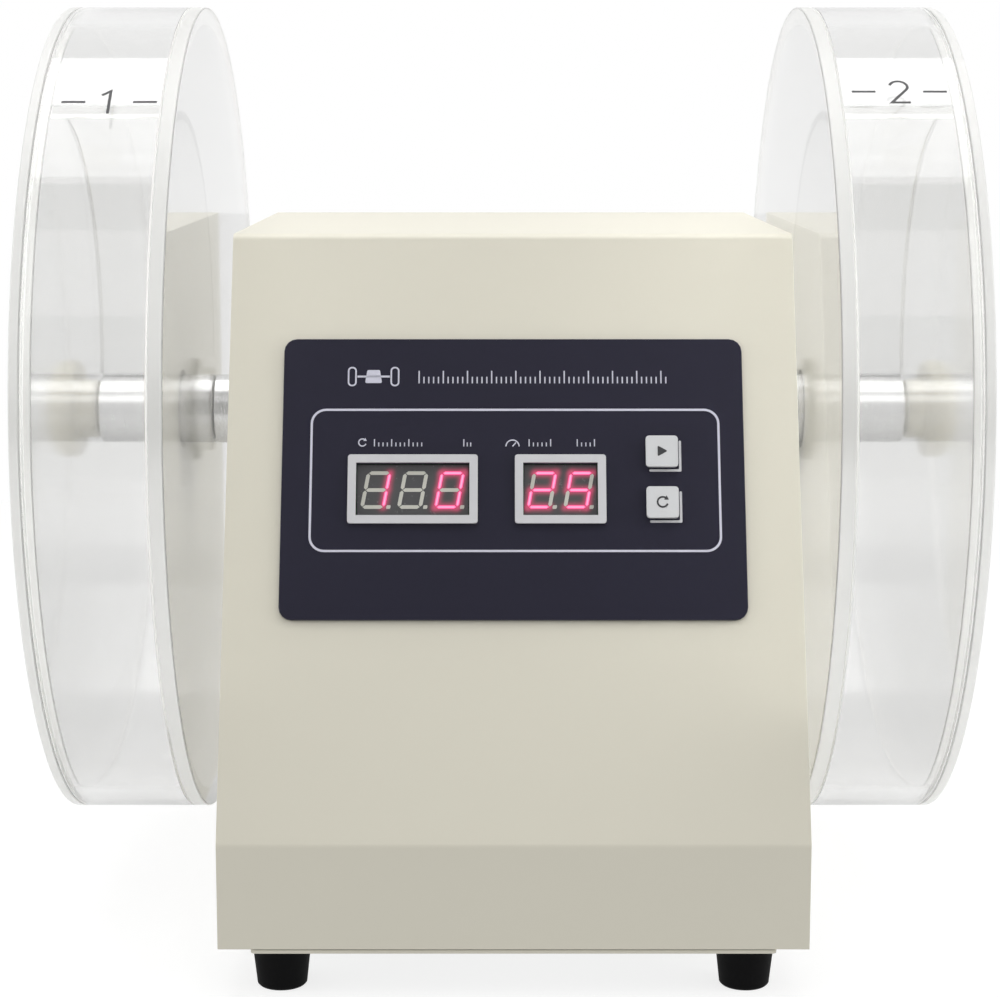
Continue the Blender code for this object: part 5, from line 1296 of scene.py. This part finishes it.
class MakeStage(bpy.types.Operator):
    """Adds the floor, the lamps, the surroundings and the camera"""
    bl_idname = "tester.make_stage"
    bl_label = "Stage"

    def execute(self, context):
        settings = context.scene.tester_stage
        self.make_floor(context.scene, settings)
        self.make_world(context.scene, settings)
        self.make_lamps(context.scene, settings)
        self.make_camera(context.scene, settings)
        return {"FINISHED"}

    def make_floor(self, scene, settings):
        """A pale floor that fades into the plain background away from the object."""
        half_size, fade_start, fade_end = 6.0, 0.45, 1.0
        # Places along Y between which the mirrored brightness changes, close by and far off
        close_by, far_off, far_dim, far_bright = (-0.05, 0.1), (-0.4, 0.4), 0.3, 0.85
        tree, shader = new_material("studio_floor")
        place = add_node(tree, "ShaderNodeTexCoord").outputs["Object"]
        depth = add_node(tree, "ShaderNodeSeparateXYZ", Vector=place).outputs["Y"]
        near = between(tree, depth, settings.floor_mirrored, settings.floor_behind, *close_by)
        lift = seen_by(tree, settings.floor_glow, Transmission=settings.floor_through, Glossy=near,
                       Camera=settings.floor_lift)
        tone = settings.floor_tone
        set_inputs(tree, shader, Base_Color=(tone, tone, tone, 1), Roughness=0.9,
                   Specular_IOR_Level=0.0, Emission_Color=(1, 1, 1, 1), Emission_Strength=lift)
        mirrored = between(tree, depth, far_dim, far_bright, *far_off)
        far = add_node(tree, "ShaderNodeEmission", Strength=surroundings(tree, settings, mirrored))
        distance = add_node(tree, "ShaderNodeVectorMath", {"operation": "LENGTH"}, _0=place)
        fade = between(tree, distance.outputs["Value"], 0.0, 1.0, fade_start, fade_end, "SMOOTHSTEP")
        mix_shaders(tree, fade, shader, far)
        builder = bmesh.new()
        bmesh.ops.create_grid(builder, x_segments=1, y_segments=1, size=half_size)
        floor = bpy.data.objects.new("studio_floor", mesh_from(builder, "studio_floor", "studio_floor"))
        scene.collection.objects.link(floor)

    def make_world(self, scene, settings):
        """An even studio; polished surfaces see it dim in front and bright above and behind."""
        world = bpy.data.worlds.new("studio")
        scene.world = world
        world.use_nodes = True
        tree = world.node_tree
        sight = add_node(tree, "ShaderNodeTexCoord").outputs["Generated"]
        heading = add_node(tree, "ShaderNodeSeparateXYZ", Vector=sight).outputs
        toward = math_node(tree, "MULTIPLY", heading["Y"], -1.0)
        above = math_node(tree, "MAXIMUM", heading["Z"], 0.0)
        angle = math_node(tree, "ARCTAN2", above, toward)
        share = math_node(tree, "DIVIDE", angle, math.pi)
        ramp = add_node(tree, "ShaderNodeValToRGB", Fac=share)
        # Brightness by degrees up from the horizon in front, over the top, to the one behind
        stops = ((0, 0.30), (18, 0.16), (72, 0.16), (85, 0.75), (110, 0.95), (180, 1.0))
        elements = ramp.color_ramp.elements
        while len(elements) < len(stops):
            elements.new(0.5)
        for element, (degrees, value) in zip(elements, stops):
            element.position = degrees / 180
            element.color = (value, value, value, 1)
        strength = surroundings(tree, settings, ramp.outputs["Color"])
        set_inputs(tree, tree.nodes["Background"], Color=(1, 1, 1, 1), Strength=strength)

    def make_lamps(self, scene, settings):
        """Lamps by place, target, size and watts; polished surfaces mirror the overhead one."""
        rows = (
            ("overhead_lamp", (0.0, 0.08, 1.5), (0, 0.08, 0), (1.2, 1.14), settings.key_power, True),
            ("front_lamp", (0.0, -0.95, 1.08), (0, 0, 0.186), (1.2, 0.55), settings.front_power, False),
            ("left_lamp", (-1.5, -0.35, 0.7), (0, 0, 0.15), (0.6, 0.6), settings.left_power, False),
            ("right_lamp", (1.5, -0.35, 0.7), (0, 0, 0.15), (0.6, 0.6), settings.right_power, False),
        )
        for name, place, target, size, power, mirrored in rows:
            lamp = bpy.data.lights.new(name, "AREA")
            lamp.shape = "RECTANGLE"
            lamp.size, lamp.size_y = size
            lamp.energy = power
            holder = bpy.data.objects.new(name, lamp)
            holder.location = place
            aim = Vector(target) - Vector(place)
            holder.rotation_euler = aim.to_track_quat("-Z", "Y").to_euler()
            holder.visible_glossy = mirrored
            scene.collection.objects.link(holder)

    def make_camera(self, scene, settings):
        """The photograph's view: its place and its tilt below the horizontal."""
        place, tilt = (-0.00067, -0.92478, 0.30051), 0.1596
        camera = bpy.data.cameras.new("camera")
        camera.lens = settings.lens
        holder = bpy.data.objects.new("camera", camera)
        holder.location = place
        holder.rotation_euler = (math.pi / 2 - tilt, 0, 0)
        scene.collection.objects.link(holder)
        scene.camera = holder
        scene.view_settings.view_transform = "Standard"
        scene.cycles.max_bounces = 32
        scene.cycles.transmission_bounces = 32
        scene.cycles.transparent_max_bounces = 24
        scene.cycles.glossy_bounces = 8


class TesterPanelView(bpy.types.Panel):
    """Lists the tester's pieces in the 3D view's sidebar"""
    bl_idname = "VIEW3D_PT_tester"
    bl_label = "Friability tester"
    bl_space_type = "VIEW_3D"
    bl_region_type = "UI"
    bl_category = "Tester"

    def draw(self, context):
        for group in GROUPS:
            settings = getattr(context.scene, group)
            for key in settings.bl_rna.properties.keys():
                if key not in ("rna_type", "name"):
                    self.layout.prop(settings, key)
        for operator in OPERATORS:
            self.layout.operator(operator.bl_idname)


OPERATORS = (DressHousing, DressFeet, DressDrums, DressHubs, DressPanel, DressRear, DressInside, MakeStage)
GROUPS = {"tester_colours": TesterColours, "tester_drums": TesterDrums,
          "tester_panel": TesterPanel, "tester_stage": TesterStage}
CLASSES = (*GROUPS.values(), *OPERATORS, TesterPanelView)


def register():
    for entry in CLASSES:
        bpy.utils.register_class(entry)
    for key, group in GROUPS.items():
        setattr(bpy.types.Scene, key, PointerProperty(type=group))


def unregister():
    for key in GROUPS:
        delattr(bpy.types.Scene, key)
    for entry in reversed(CLASSES):
        bpy.utils.unregister_class(entry)


def corners(box):
    return [list(corner) for corner in box]


def main():
    register()
    make_materials(bpy.context.scene.tester_colours)
    bpy.ops.tester.dress_housing()
    bpy.ops.tester.dress_feet()
    bpy.ops.tester.dress_drums()
    bpy.ops.tester.dress_hubs()
    bpy.ops.tester.dress_panel()
    bpy.ops.tester.dress_rear()
    bpy.ops.tester.dress_inside()
    bpy.ops.tester.make_stage()


if __name__ == "__main__":
    main()
